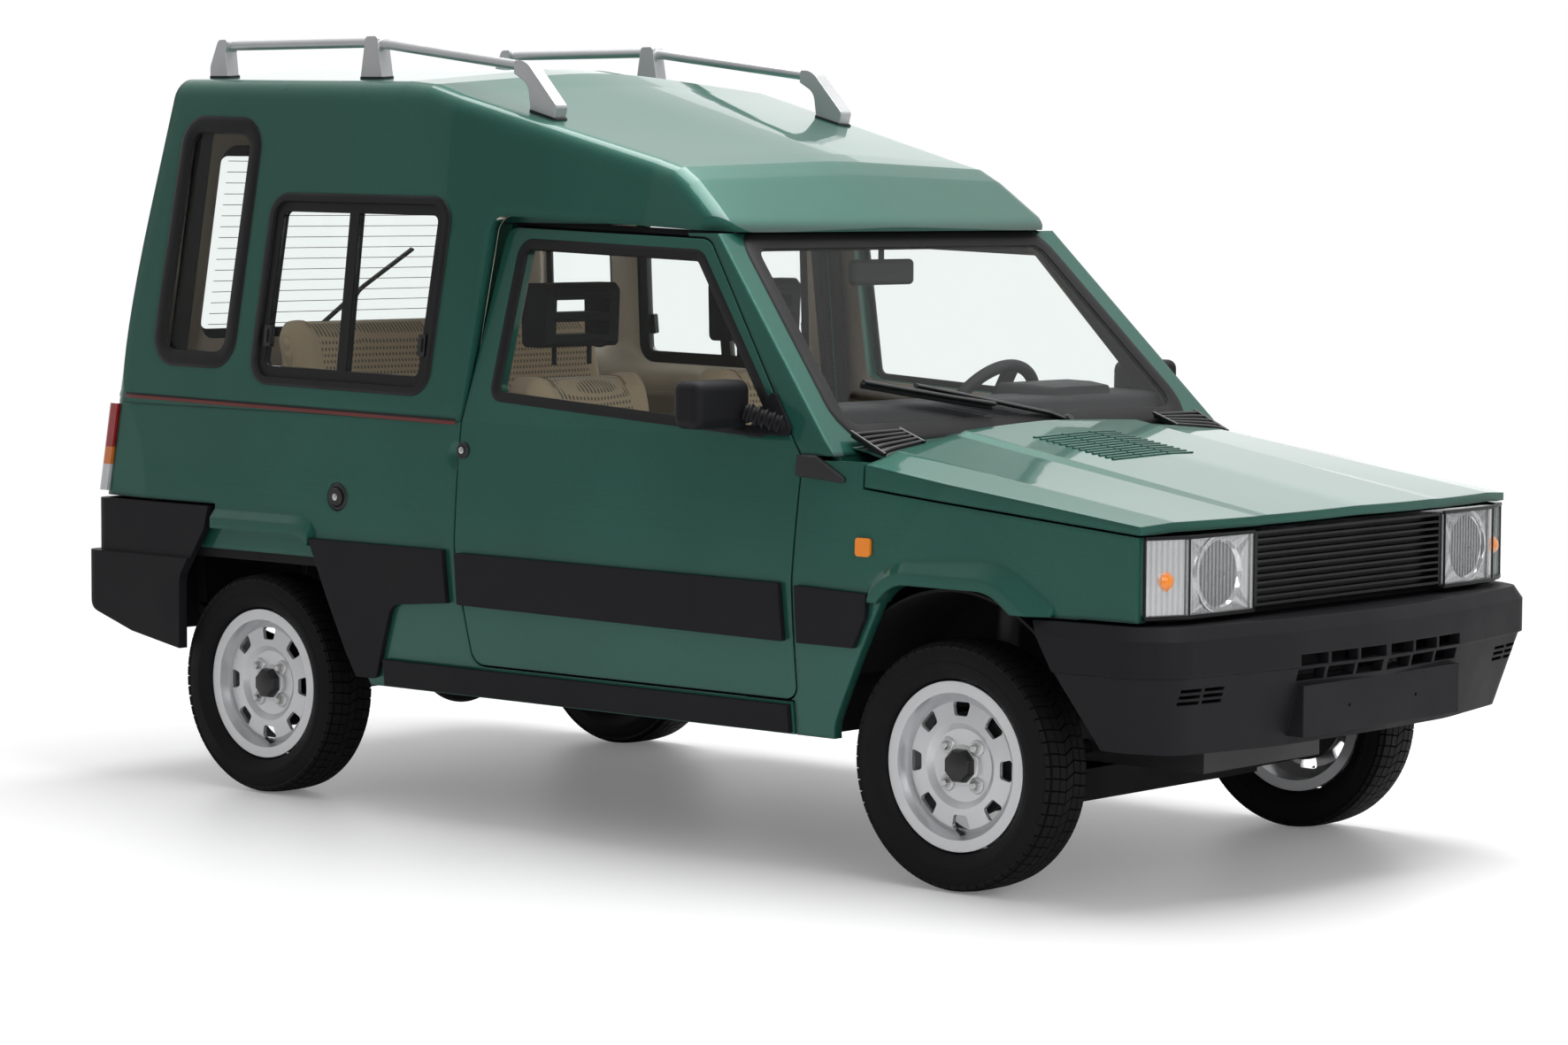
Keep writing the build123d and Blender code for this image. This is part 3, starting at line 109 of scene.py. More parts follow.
def makeGrain():  # moulded, cast or painted surface: fine noise as colour, height and roughness
    group, start, end = newGroup(
        "mouldedGrain",
        {"Scale": 900.0, "Tint": (0.05, 0.05, 0.05, 1), "Spread": 0.25, "Rough Low": 0.45, "Rough High": 0.62},
        ["Color", "Height", "Rough"],
    )
    fine = addNode(group, "TexNoise", in_Detail=3.0)
    broad = addNode(group, "TexNoise", in_Scale=6.0, in_Detail=4.0)
    objectSpace(group, fine, broad)
    wire(group, start, "Scale", fine, "Scale")
    shade = addNode(group, "MapRange", in_From_Min=0.3, in_From_Max=0.7, in_To_Min=0.6, in_To_Max=1.35)
    wire(group, broad, "Fac", shade, "Value")
    mixed = mixColor(group, start.outputs["Spread"], start.outputs["Tint"], shade.outputs["Result"],
                     "MULTIPLY")
    rough = addNode(group, "MapRange", in_From_Min=0.3, in_From_Max=0.7)
    wire(group, broad, "Fac", rough, "Value")
    wire(group, start, "Rough Low", rough, "To Min")
    wire(group, start, "Rough High", rough, "To Max")
    group.links.new(mixed, end.inputs["Color"])
    wire(group, fine, "Fac", end, "Height")
    wire(group, rough, "Result", end, "Rough")
    return group


def makeDust():  # pale road dust on faces that look up, broken by noise
    paleDust = (0.32, 0.29, 0.25, 1)
    group, start, end = newGroup("settledDust", {"Color": (0.1, 0.1, 0.1, 1), "Amount": 0.3}, ["Color"])
    cloud = addNode(group, "TexNoise", in_Scale=14.0, in_Detail=5.0)
    objectSpace(group, cloud)
    axes = addNode(group, "SeparateXYZ")
    face = addNode(group, "NewGeometry")
    wire(group, face, "Normal", axes, "Vector")
    up = addNode(group, "MapRange", in_From_Min=-0.2, in_From_Max=1.0)
    wire(group, axes, "Z", up, "Value")
    settled = mathNode(group, "MULTIPLY", up.outputs["Result"], cloud.outputs["Fac"])
    mask = mathNode(group, "MULTIPLY", settled, start.outputs["Amount"])
    group.links.new(mixColor(group, mask, start.outputs["Color"], paleDust), end.inputs["Color"])
    return group


def makeWeave():  # plain cloth weave as a height and a shade
    group, start, end = newGroup("clothWeave", {"Scale": 420.0}, ["Height", "Shade"])
    waves = []
    for direction in ("Y", "DIAGONAL"):
        wave = addNode(group, "TexWave", bands_direction=direction, in_Distortion=1.5, in_Detail=1.0)
        objectSpace(group, wave)
        wire(group, start, "Scale", wave, "Scale")
        waves.append(wave.outputs["Fac"])
    height = mathNode(group, "MULTIPLY", waves[0], waves[1])
    group.links.new(height, end.inputs["Height"])
    shade = mathNode(group, "ADD", mathNode(group, "MULTIPLY", height, 0.5), 0.75)
    group.links.new(shade, end.inputs["Shade"])
    return group


def makeSoftNormal():  # rounded edges with a bump laid over them
    group, start, end = newGroup("softNormal", {"Radius": 0.004, "Height": 0.0, "Strength": 0.1}, ["Normal"])
    bevel = addNode(group, "Bevel", samples=6)
    bump = addNode(group, "Bump", in_Distance=0.001)
    wire(group, start, "Radius", bevel, "Radius")
    wire(group, start, "Strength", bump, "Strength")
    wire(group, start, "Height", bump, "Height")
    wire(group, bevel, "Normal", bump, "Normal")
    wire(group, bump, "Normal", end, "Normal")
    return group


def makeFlutes():  # upright flutes of a lamp lens, as a height and a cover
    group, start, end = newGroup("lensFlutes", {"Scale": 26.0, "Cover Low": 0.1, "Cover High": 0.4},
                                 ["Height", "Cover"])
    wave = addNode(group, "TexWave", bands_direction="Y")
    cover = addNode(group, "MapRange")
    objectSpace(group, wave)
    wire(group, start, "Scale", wave, "Scale")
    wire(group, wave, "Fac", cover, "Value")
    wire(group, start, "Cover Low", cover, "To Min")
    wire(group, start, "Cover High", cover, "To Max")
    wire(group, wave, "Fac", end, "Height")
    wire(group, cover, "Result", end, "Cover")
    return group


grainGroup, dustGroup, weaveGroup = makeGrain(), makeDust(), makeWeave()
softGroup, fluteGroup = makeSoftNormal(), makeFlutes()


def material(name, **sockets):
    mat = bpy.data.materials.new(name)
    mat.use_nodes = True
    shader = mat.node_tree.nodes["Principled BSDF"]
    setInputs(shader, sockets)
    return mat, mat.node_tree, shader


def placeGroup(tree, group, **values):
    node = addNode(tree, "Group", node_tree=group)
    setInputs(node, values)
    return node


def softEdges(tree, shader, radius, height, strength):
    soft = placeGroup(tree, softGroup, Radius=radius, Strength=strength)
    tree.links.new(height, soft.inputs["Height"])
    wire(tree, soft, "Normal", shader, "Normal")


def grained(name, tint, scale, spread, bump, rough=(0.45, 0.62), dust=0.0, edge=0.0, shine=0.5, **sockets):
    mat, tree, shader = material(name, Specular_IOR_Level=shine, **sockets)
    group = placeGroup(tree, grainGroup, Scale=scale, Tint=(*tint, 1), Spread=spread,
                       Rough_Low=rough[0], Rough_High=rough[1])
    color = group.outputs["Color"]
    if dust:
        veil = placeGroup(tree, dustGroup, Amount=dust)
        tree.links.new(color, veil.inputs["Color"])
        color = veil.outputs["Color"]
    tree.links.new(color, shader.inputs["Base Color"])
    wire(tree, group, "Rough", shader, "Roughness")
    softEdges(tree, shader, edge, group.outputs["Height"], bump)
    return mat


def greenPaint(name, edge):  # flakes in a deep base under a clear coat
    look = {"deep": (0.010, 0.054, 0.040, 1), "bright": (0.030, 0.142, 0.106, 1), "flakeScale": 2600.0}
    mat, tree, shader = material(name, Metallic=0.42, Roughness=0.38, Specular_IOR_Level=0.2,
                                 Specular_Tint=(0.35, 0.55, 0.47, 1), Coat_Weight=0.75,
                                 Coat_Roughness=0.03, Coat_IOR=1.42)
    flake = addNode(tree, "TexVoronoi", in_Scale=look["flakeScale"])
    cloud = addNode(tree, "TexNoise", in_Scale=2.0, in_Detail=2.0)
    peel = addNode(tree, "TexNoise", in_Scale=160.0, in_Detail=1.0)
    objectSpace(tree, flake, cloud, peel)
    depth = mathNode(tree, "ADD", cloud.outputs["Fac"], 0.5)
    glint = mathNode(tree, "MULTIPLY", flake.outputs["Color"], depth)
    tree.links.new(mixColor(tree, glint, look["deep"], look["bright"]), shader.inputs["Base Color"])
    softEdges(tree, shader, edge, peel.outputs["Fac"], 0.02)
    return mat


def seatCloth(name, middle, half):  # staggered dots on the panels that lie within half of middle
    look = {"plain": (0.76, 0.61, 0.41, 1), "dot": (0.085, 0.085, 0.06, 1), "pitch": 0.0115,
            "dotSize": 0.28, "cover": 0.8}
    mat, tree, shader = material(name, Roughness=0.9, Sheen_Weight=0.35)

    def calc(operation, first, second=None):
        return mathNode(tree, operation, first, second)

    weave = placeGroup(tree, weaveGroup, Scale=380.0)
    axes = addNode(tree, "SeparateXYZ")
    objectSpace(tree, axes)
    across = calc("DIVIDE", axes.outputs["Y"], look["pitch"])
    along = calc("DIVIDE", calc("ADD", axes.outputs["X"], axes.outputs["Z"]), look["pitch"])
    row = calc("MULTIPLY", calc("MODULO", calc("FLOOR", along), 2.0), 0.5)
    u = calc("SUBTRACT", calc("FRACT", calc("ADD", across, row)), 0.5)
    v = calc("SUBTRACT", calc("FRACT", along), 0.5)
    reach = calc("ADD", calc("MULTIPLY", u, u), calc("MULTIPLY", v, v))
    dot = calc("LESS_THAN", reach, look["dotSize"] ** 2)
    offset = calc("ABSOLUTE", calc("SUBTRACT", calc("ABSOLUTE", axes.outputs["Y"]), middle))
    panel = calc("LESS_THAN", offset, half)
    dots = calc("MULTIPLY", calc("MULTIPLY", dot, panel), look["cover"])
    base = mixColor(tree, 1.0, look["plain"], weave.outputs["Shade"], "MULTIPLY")
    tree.links.new(mixColor(tree, dots, base, look["dot"]), shader.inputs["Base Color"])
    softEdges(tree, shader, 0.0, weave.outputs["Height"], 0.35)
    return mat


def ribbedLens(name, bands, strength, **sockets):
    mat, tree, shader = material(name, **sockets)
    flutes = placeGroup(tree, fluteGroup, Scale=bands)
    softEdges(tree, shader, 0.002, flutes.outputs["Height"], strength)
    return mat, tree, shader, flutes


def paneGlass():  # lamps and bounced light pass the pane, the camera sees glass
    mat, tree, shader = material("cabinGlass", Base_Color=(0.93, 0.96, 0.95, 1), Transmission_Weight=1.0,
                                 IOR=1.15)
    smudge = placeGroup(tree, grainGroup, Scale=40.0, Rough_Low=0.0, Rough_High=0.025)
    wire(tree, smudge, "Rough", shader, "Roughness")
    path = addNode(tree, "LightPath")
    clear = addNode(tree, "BsdfTransparent")
    passing = mathNode(tree, "MAXIMUM", path.outputs["Is Shadow Ray"], path.outputs["Is Diffuse Ray"])
    blend = addNode(tree, "MixShader")
    tree.links.new(passing, blend.inputs["Fac"])
    wire(tree, shader, "BSDF", blend, 1)
    wire(tree, clear, "BSDF", blend, 2)
    tree.links.new(blend.outputs["Shader"], tree.nodes["Material Output"].inputs["Surface"])
    return mat


def clearLens():  # fluted clear cover, seen mostly through
    mat, tree, shader, flutes = ribbedLens("lampLens", 26.0, 0.7, Base_Color=(0.9, 0.92, 0.93, 1),
                                           Roughness=0.05)
    setInputs(flutes, {"Cover Low": 0.08, "Cover High": 0.24})
    wire(tree, flutes, "Cover", shader, "Alpha")
    return mat


def tailLens():  # red above, amber between, clear below, by height
    foot, top = 0.716, 0.936
    bands = [(0.0, (0.55, 0.56, 0.58, 1)), (0.30, (0.62, 0.16, 0.02, 1)), (0.50, (0.30, 0.006, 0.008, 1))]
    mat, tree, shader = ribbedLens("tailLens", 60.0, 0.6, Roughness=0.12, Coat_Weight=0.8)[:3]
    axes = addNode(tree, "SeparateXYZ")
    objectSpace(tree, axes)
    height = addNode(tree, "MapRange", in_From_Min=foot, in_From_Max=top)
    wire(tree, axes, "Z", height, "Value")
    ramp = addNode(tree, "ValToRGB")
    ramp.color_ramp.interpolation = "CONSTANT"
    ramp.color_ramp.elements.new(0.5)
    for element, (at, color) in zip(ramp.color_ramp.elements, bands):
        element.position = at
        element.color = color
    wire(tree, height, "Result", ramp, "Fac")
    wire(tree, ramp, "Color", shader, "Base Color")
    return mat


paint = greenPaint("greenPaint", 0.005)
foldPaint = greenPaint("greenFoldPaint", 0.016)
roofPaint = greenPaint("greenRoofPaint", 0.05)
plastic = grained("charcoalPlastic", (0.010, 0.010, 0.012), 1400.0, 0.3, 0.25, (0.5, 0.64),
                  edge=0.004, shine=0.17)
grilleBlack = grained("grilleBlack", (0.007, 0.007, 0.008), 900.0, 0.3, 0.1, (0.3, 0.45), edge=0.001,
                      shine=0.3)
rubber = grained("blackRubber", (0.007, 0.007, 0.008), 700.0, 0.3, 0.1, (0.4, 0.6), shine=0.3)
greyRubber = grained("screenRubber", (0.012, 0.012, 0.012), 700.0, 0.3, 0.1, (0.5, 0.65), shine=0.2)
tyreRubber = grained("tyreRubber", (0.005, 0.005, 0.0055), 500.0, 0.5, 0.15, (0.6, 0.78), 0.02, shine=0.18)
silver = grained("wheelSilver", (0.66, 0.665, 0.68), 900.0, 0.12, 0.05, (0.28, 0.36), edge=0.002, Metallic=0.6)
underSteel = grained("underbodySteel", (0.010, 0.010, 0.010), 300.0, 0.4, 0.2, (0.6, 0.8), 0.04, shine=0.2)
castMetal = grained("castMetal", (0.06, 0.06, 0.06), 400.0, 0.35, 0.3, dust=0.05, Metallic=0.5)
boltSteel = grained("boltSteel", (0.55, 0.55, 0.54), 900.0, 0.3, 0.1, (0.25, 0.4), Metallic=0.9)
railAlloy = grained("railAlloy", (0.58, 0.59, 0.60), 800.0, 0.1, 0.06, (0.28, 0.4), edge=0.003, Metallic=0.75)
capBlack = grained("capBlack", (0.010, 0.010, 0.011), 700.0, 0.3, 0.1, (0.3, 0.4))
darkTrim = grained("cabinPlastic", (0.016, 0.016, 0.018), 1100.0, 0.3, 0.3, (0.55, 0.7), edge=0.005, shine=0.2)
headlining = grained("headlining", (0.70, 0.64, 0.54), 1500.0, 0.2, 0.3, (0.8, 0.95))
cardTrim = grained("cardTrim", (0.20, 0.165, 0.125), 1300.0, 0.25, 0.3, (0.65, 0.8))
carpet = grained("carpet", (0.045, 0.042, 0.040), 1800.0, 0.5, 0.8, (0.9, 1.0), dust=0.15)
frontCloth = seatCloth("frontSeatCloth", 0.33, 0.118)
rearCloth = seatCloth("rearSeatCloth", 0.28, 0.19)
pipingCloth = grained("seatPiping", (0.40, 0.29, 0.17), 1500.0, 0.3, 0.3, (0.85, 0.95))
clearGlass = paneGlass()
lensGlass = clearLens()
bulbGlass = grained("bulbGlass", (0.95, 0.96, 0.96), 60.0, 0.05, 0.02, (0.0, 0.04),
                    Transmission_Weight=1.0, IOR=1.2)
amberLens = ribbedLens("amberLens", 90.0, 0.3, Base_Color=(0.9, 0.25, 0.01, 1), Roughness=0.12,
                       Coat_Weight=0.5)[0]
tailColors = tailLens()
reflector = grained("lampReflector", (0.80, 0.81, 0.82), 200.0, 0.1, 0.02, (0.1, 0.18), Metallic=1.0)
mirrorGlass = grained("mirrorGlass", (0.86, 0.87, 0.88), 200.0, 0.05, 0.0, (0.02, 0.05), Metallic=1.0)
maroonTape = grained("maroonTape", (0.13, 0.018, 0.014), 900.0, 0.2, 0.05, (0.3, 0.4))
heaterLine = grained("heaterLine", (0.22, 0.10, 0.05), 900.0, 0.2, 0.05)

finishes = {
    "paint": paint, "tyre": tyreRubber, "wheel_silver": silver, "body_steel": underSteel,
    "dark_plastic": plastic, "glass": clearGlass, "rubber": rubber, "black_steel": underSteel,
    "cast_metal": castMetal, "bare_steel": castMetal, "seat_cloth": frontCloth, "reflector": reflector,
    "rail_alloy": railAlloy, "amber_lens": amberLens, "red_lens": tailColors,
}
ownFinish = {
    "high_roof": roofPaint, "bonnet": foldPaint, "front_wings": foldPaint, "side_panels": foldPaint,
    "cab_frame": foldPaint, "headlamp_lenses": lensGlass, "grille": grilleBlack, "dashboard": darkTrim,
    "steering_wheel": darkTrim, "head_restraints": darkTrim, "interior_mirror": darkTrim,
}
for part in frame["record"]["subparts"]:
    obj = nodes[part["node"]]
    obj.data.materials.clear()
    obj.data.materials.append(ownFinish.get(part["node"], finishes[part["material_slot"]]))
print("finishes set")


# mesh helpers: sizes in millimetres, meshes in metres
def mm(x, y, z):
    return Vector((x, y, z)) / 1000


def newObject(name, bm):
    mesh = bpy.data.meshes.new(name)
    bm.to_mesh(mesh)
    bm.free()
    piece = bpy.data.objects.new(name, mesh)
    scene.collection.objects.link(piece)
    return piece


def newPiece(name, bm, finish, body="body", sharp=35, bevel=0.0, outward=True):
    if outward:
        bmesh.ops.recalc_face_normals(bm, faces=bm.faces)
    piece = newObject(name, bm)
    mesh = piece.data
    for mat in finish if isinstance(finish, list) else [finish]:
        mesh.materials.append(mat)
    mesh.shade_smooth()
    mesh.set_sharp_from_angle(angle=math.radians(sharp))
    if bevel:
        soft = piece.modifiers.new("softEdge", "BEVEL")
        soft.width = bevel / 1000
        soft.segments = 2
        soft.limit_method = "ANGLE"
    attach(piece, body)
    return piece


def bridge(bm, first, second, finish=0):
    count = len(first)
    for k in range(count):
        face = bm.faces.new((first[k], first[(k + 1) % count], second[(k + 1) % count], second[k]))
        face.material_index = finish


def addLoops(bm, loops, finish=0):  # rings joined in order, both ends capped
    rings = [[bm.verts.new(point) for point in loop] for loop in loops]
    for first, second in zip(rings, rings[1:]):
        bridge(bm, first, second, finish)
    for ring in (rings[0], rings[-1]):
        bm.faces.new(ring).material_index = finish


def lathe(bm, profile, steps, place, finish=0, turn=0.0):  # profile: (radius, along) pairs
    angles = [2 * math.pi * (k + turn) / steps for k in range(steps)]
    loops = []
    for radius, along in profile:
        loops.append([place @ mm(radius * math.cos(a), radius * math.sin(a), along) for a in angles])
    addLoops(bm, loops, finish)


def latheRows(bm, place, rows):  # rows: (profile, steps, finish)
    for profile, steps, finish in rows:
        lathe(bm, profile, steps, place, finish)


def aimed(at, direction):  # local Z looks along direction, origin at a point in millimetres
    turn = Vector(direction).to_track_quat("Z", "Y").to_matrix().to_4x4()
    return Matrix.Translation(mm(*at)) @ turn


def handed(point, side):  # a point of the left side, or its mirror image on the right
    return Vector((point[0], side * point[1], point[2]))


def tube(bm, points, section, finish=0):  # section: (width, depth) of a flat bar, or one radius
    wide, deep = section if isinstance(section, tuple) else (section * 2, section * 2)
    sides = 8
    path = [mm(*point) for point in points]
    loops = []
    for k, point in enumerate(path):
        ahead = (path[min(k + 1, len(path) - 1)] - path[max(k - 1, 0)]).normalized()
        side = ahead.cross(Vector((0, 0, 1)) if abs(ahead.z) < 0.9 else Vector((1, 0, 0))).normalized()
        up = side.cross(ahead)
        ring = []
        for step in range(sides):
            a = 2 * math.pi * step / sides
            ring.append(point + side * (math.cos(a) * wide / 2000) + up * (math.sin(a) * deep / 2000))
        loops.append(ring)
    addLoops(bm, loops, finish)


def rectangle(x, y, wide, tall):  # four corners round a centre
    around = ((-1, -1), (-1, 1), (1, 1), (1, -1))
    return [Vector((x + i * wide / 2, y + j * tall / 2)) for i, j in around]


def roundedLoop(points, radii, steps=6):
    corners = [Vector(point) for point in points]
    radii = radii if isinstance(radii, (list, tuple)) else [radii] * len(corners)
    loop = []
    for k, corner in enumerate(corners):
        back = (corners[k - 1] - corner).normalized()
        ahead = (corners[(k + 1) % len(corners)] - corner).normalized()
        half = back.angle(ahead) / 2
        centre = corner + (back + ahead).normalized() * (radii[k] / math.sin(half))
        first = corner + back * (radii[k] / math.tan(half)) - centre
        last = corner + ahead * (radii[k] / math.tan(half)) - centre
        for step in range(steps + 1):
            spoke = first.lerp(last, step / steps).normalized() * radii[k]
            loop.append(centre + spoke)
    return loop


def outwardOf(loop):
    area = sum(a.x * b.y - b.x * a.y for a, b in zip(loop, loop[1:] + loop[:1]))
    sign = 1 if area > 0 else -1
    normals = []
    for k in range(len(loop)):
        run = (loop[(k + 1) % len(loop)] - loop[k - 1]).normalized()
        normals.append(Vector((run.y, -run.x)) * sign)
    return normals


def frameStrip(bm, loop, place, section):  # section: (across, height) pairs round a closed profile
    rings = []
    for point, normal in zip(loop, outwardOf(loop)):
        rings.append([bm.verts.new(place(*(point + normal * across), height)) for across, height in section])
    for first, second in zip(rings, rings[1:] + rings[:1]):
        bridge(bm, first, second)


def pad(bm, loop, place, low, high, chamfer=1.5):  # raised plate with a chamfered rim
    normals = outwardOf(loop)
    levels = [(0, low), (0, high - chamfer), (-chamfer, high)]
    addLoops(bm, [[place(*(p + n * across), height) for p, n in zip(loop, normals)]
                  for across, height in levels])


# leaning planes of the body: place at the foot, height of the foot, lean
planes = {"roof": (714, 940, 0.1228), "cab": (712, 940, 108 / 460), "screen": (705, 965, 0.92),
          "tail": (-1632, 955, 0.194)}


def sideWall(plane, side):  # place(x, z, height over the wall)
    half, foot, lean = planes[plane]
    normal = Vector((0, side, lean)).normalized() / 1000
    return lambda u, v, h: mm(u, side * (half - (v - foot) * lean), v) + normal * h


def endWall(plane, front):  # place(y, z, height over the wall)
    x, foot, lean = planes[plane]
    normal = Vector((front, 0, lean)).normalized() / 1000
    return lambda u, v, h: mm(x - front * lean * (v - foot), u, v) + normal * h


screenPlane, tailPlane = endWall("screen", 1), endWall("tail", -1)
trees = {}
cast = {"sideStart": 1.2, "topStart": 2.5, "sideMiss": 716, "topMiss": 900}


def treeOf(name):
    if name not in trees:
        mesh = nodes[name].data
        trees[name] = BVHTree.FromPolygons([v.co for v in mesh.vertices], [p.vertices for p in mesh.polygons])
    return trees[name]


def castOn(names, start, direction, miss):  # nearest point hit on the named pieces
    hits = [treeOf(name).ray_cast(start, Vector(direction)) for name in names]
    hits = [hit for hit in hits if hit[0] is not None]
    return min(hits, key=lambda hit: hit[3])[0] if hits else miss


def onSide(names, side):  # place(x, z, height) over the bodywork's side
    def place(u, v, h):
        start = Vector((u / 1000, side * cast["sideStart"], v / 1000))
        point = castOn(names, start, (0, -side, 0), mm(u, side * cast["sideMiss"], v))
        return point + Vector((0, side * h / 1000, 0))
    return place


def onTop(names):  # place(x, y, height) over what faces up
    def place(u, v, h):
        start = Vector((u / 1000, v / 1000, cast["topStart"]))
        return castOn(names, start, (0, 0, -1), mm(u, v, cast["topMiss"])) + Vector((0, 0, h / 1000))
    return place


hands = (("right", -1, "door_r"), ("left", 1, "door_l"))


# wheels: tyres with tread blocks, bolt ring, cap and valve
tyre = {
    "pitches": 64, "groove": 6.5, "gap": 1.6,
    "half": [(185, 47), (190, 58), (203, 68), (212, 70.5), (214, 72), (223, 72), (225, 70.5), (240, 70),
             (251, 66.5)],
    "tread": [(258.5, 57), (261, 34), (261.5, 12)],
    "skew": [0.0, 0.0, 0.010, 0.026],
}


def buildTyre(corner, centre, body):
    bm = bmesh.new()
    count = tyre["pitches"]
    near = tyre["half"] + tyre["tread"]
    section = near + [(r, -y) for r, y in near[::-1]]
    firstTread = len(tyre["half"]) - 1
    skews = [0.0] * firstTread + tyre["skew"]
    skews = skews + skews[::-1]
    rings = []
    for k in range(count):
        ring = []
        for (radius, along), skew in zip(section, skews):
            a = 2 * math.pi * k / count + skew * (1 if along > 0 else -1) - math.pi / 2
            ring.append(bm.verts.new(mm(radius * math.cos(a), along, radius * math.sin(a)) + centre))
        rings.append(ring)
    blocks = []
    for first, second in zip(rings, rings[1:] + rings[:1]):
        for j in range(len(section)):
            n = (j + 1) % len(section)
            face = bm.faces.new((first[j], first[n], second[n], second[j]))
            if firstTread <= j < len(section) - 1 - firstTread:
                blocks.append(face)
    bmesh.ops.recalc_face_normals(bm, faces=bm.faces)
    bmesh.ops.inset_individual(bm, faces=blocks, thickness=tyre["gap"] / 1000,
                               depth=tyre["groove"] / 1000, use_even_offset=True)
    piece = newPiece("tyre_" + corner + "_tread", bm, tyreRubber, body, sharp=32)
    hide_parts("tyre_" + corner)


wheel = {
    "front": 1064, "rear": -1106, "y": 628, "z": 268, "boltRing": 56, "bolts": 4,
    "cap": [(37, 20), (38, 30), (37, 42), (32, 49), (20, 52)], "capFoot": [(44, 22), (44, 27), (39, 29)],
    "boltRows": [([(20, 22), (17, 29), (14, 31)], 20, 1), ([(11.5, 30), (11.5, 33), (10, 34)], 18, 2),
                 ([(9.5, 33), (9.5, 41), (7, 43.5)], 6, 2)],
    "valve": [(7, -8), (6, 4), (4, 8), (3.6, 24), (2.5, 27)],
    "valveAt": (0, 22, -150), "valveAim": (0, 0.8, 0.6),
}


def buildWheelCentre(corner, centre, side, body):
    bm = bmesh.new()
    axis = aimed(centre * 1000, (0, side, 0))
    lathe(bm, wheel["cap"], 8, axis, turn=0.5)
    lathe(bm, wheel["capFoot"], 32, axis, 1)
    for k in range(wheel["bolts"]):
        a = 2 * math.pi * (k + 0.5) / wheel["bolts"]
        spot = axis @ Matrix.Translation(mm(math.cos(a), math.sin(a), 0) * wheel["boltRing"])
        latheRows(bm, spot, wheel["boltRows"])
    valveAt = centre * 1000 + handed(wheel["valveAt"], side)
    lathe(bm, wheel["valve"], 12, aimed(valveAt, handed(wheel["valveAim"], side)))
    piece = newPiece("wheelCentre_" + corner, bm, [capBlack, silver, boltSteel], body, sharp=30, bevel=0.8)


for end in ("front", "rear"):
    for hand, side, door in hands:
        hub = mm(wheel[end], side * wheel["y"], wheel["z"])
        wheelBody = "wheel_" + end[0] + hand[0]
        buildTyre(end + "_" + hand, hub, wheelBody)
        buildWheelCentre(end + "_" + hand, hub, side, wheelBody)
print("wheels dressed")

# rubber frames round the glass
window = {
    "tall": [(-1474, 1053), (-1425, 1638), (-1164, 1630), (-1201, 1050)],
    "slide": [(-1110, 1018), (-1082, 1450), (-487, 1444), (-515, 1008)],
    "door": [(-300, 998), (-282, 1358), (278, 1340), (606, 946)],
    "screen": [(-632, 948), (-532, 1372), (532, 1372), (632, 948)],
    "gate": [(-478, 1092), (-478, 1582), (478, 1582), (478, 1092)],
    "wide": [(-26, -7), (-24, 1.5), (-12, 4.5), (6, 5), (14, 3), (17, -0.5)],
    "lip": [(-6, -4), (-4, 3.5), (9, 4.5), (15, 2), (16, -0.5)],
    "slim": [(-18, -9), (-16, -1), (-5, 1.5), (4, 2), (7, 0.8), (7, -0.8)],
}


def rubberFrame(name, opening, radii, place, section, body="body", finish=rubber):
    bm = bmesh.new()
    frameStrip(bm, roundedLoop(window[opening], radii), place, window[section])
    newPiece(name, bm, finish, body, sharp=50)


for hand, side, door in hands:
    rubberFrame("tallWindowRubber_" + hand, "tall", 60, sideWall("roof", side), "wide")
    rubberFrame("slideWindowRubber_" + hand, "slide", 46, sideWall("roof", side), "lip")
    rubberFrame("doorWindowRubber_" + hand, "door", [30, 34, 40, 30], sideWall("cab", side), "slim", door)
rubberFrame("screenRubber", "screen", 55, screenPlane, "wide", finish=greyRubber)
rubberFrame("gateWindowRubber", "gate", 50, tailPlane, "wide", "gate")

latch = {"at": [(-1071, 1120), (-536, 1112)], "plate": (24, 52), "grip": (10, 32)}
for hand, side, door in hands:
    bm = bmesh.new()
    for x, z in latch["at"]:
        pad(bm, roundedLoop(rectangle(x, z, *latch["plate"]), 5), sideWall("roof", side), -14, 2, 2)
        pad(bm, roundedLoop(rectangle(x, z, *latch["grip"]), 3), sideWall("roof", side), 1, 7, 2)
    newPiece("slideLatches_" + hand, bm, capBlack)
print("window rubbers placed")

# belt tape along the seam under the tall roof
tape = {"rear": (-1612, 953), "front": (-402, 932), "maroon": (0, 8), "black": (8, 13), "steps": 30,
            "proud": 0.9, "thick": 1.5}
rear, front, thick = Vector(tape["rear"]), Vector(tape["front"]), tape["thick"]
for hand, side, door in hands:
    place = onSide(["side_panels", "high_roof"], side)
    for label, finish in (("maroon", maroonTape), ("black", rubber)):
        low, high = tape[label]
        bm = bmesh.new()
        loops = []
        for k in range(tape["steps"] + 1):
            x, z = rear.lerp(front, k / tape["steps"])
            outer = max(abs(place(x, z + h, 0).y) for h in (low, high)) * 1000 + tape["proud"]
            ring = ((thick, low), (0, low), (0, high), (thick, high))
            loops.append([mm(x, side * (outer - d), z + h) for d, h in ring])
        addLoops(bm, loops)
        newPiece(label + "Tape_" + hand, bm, finish)

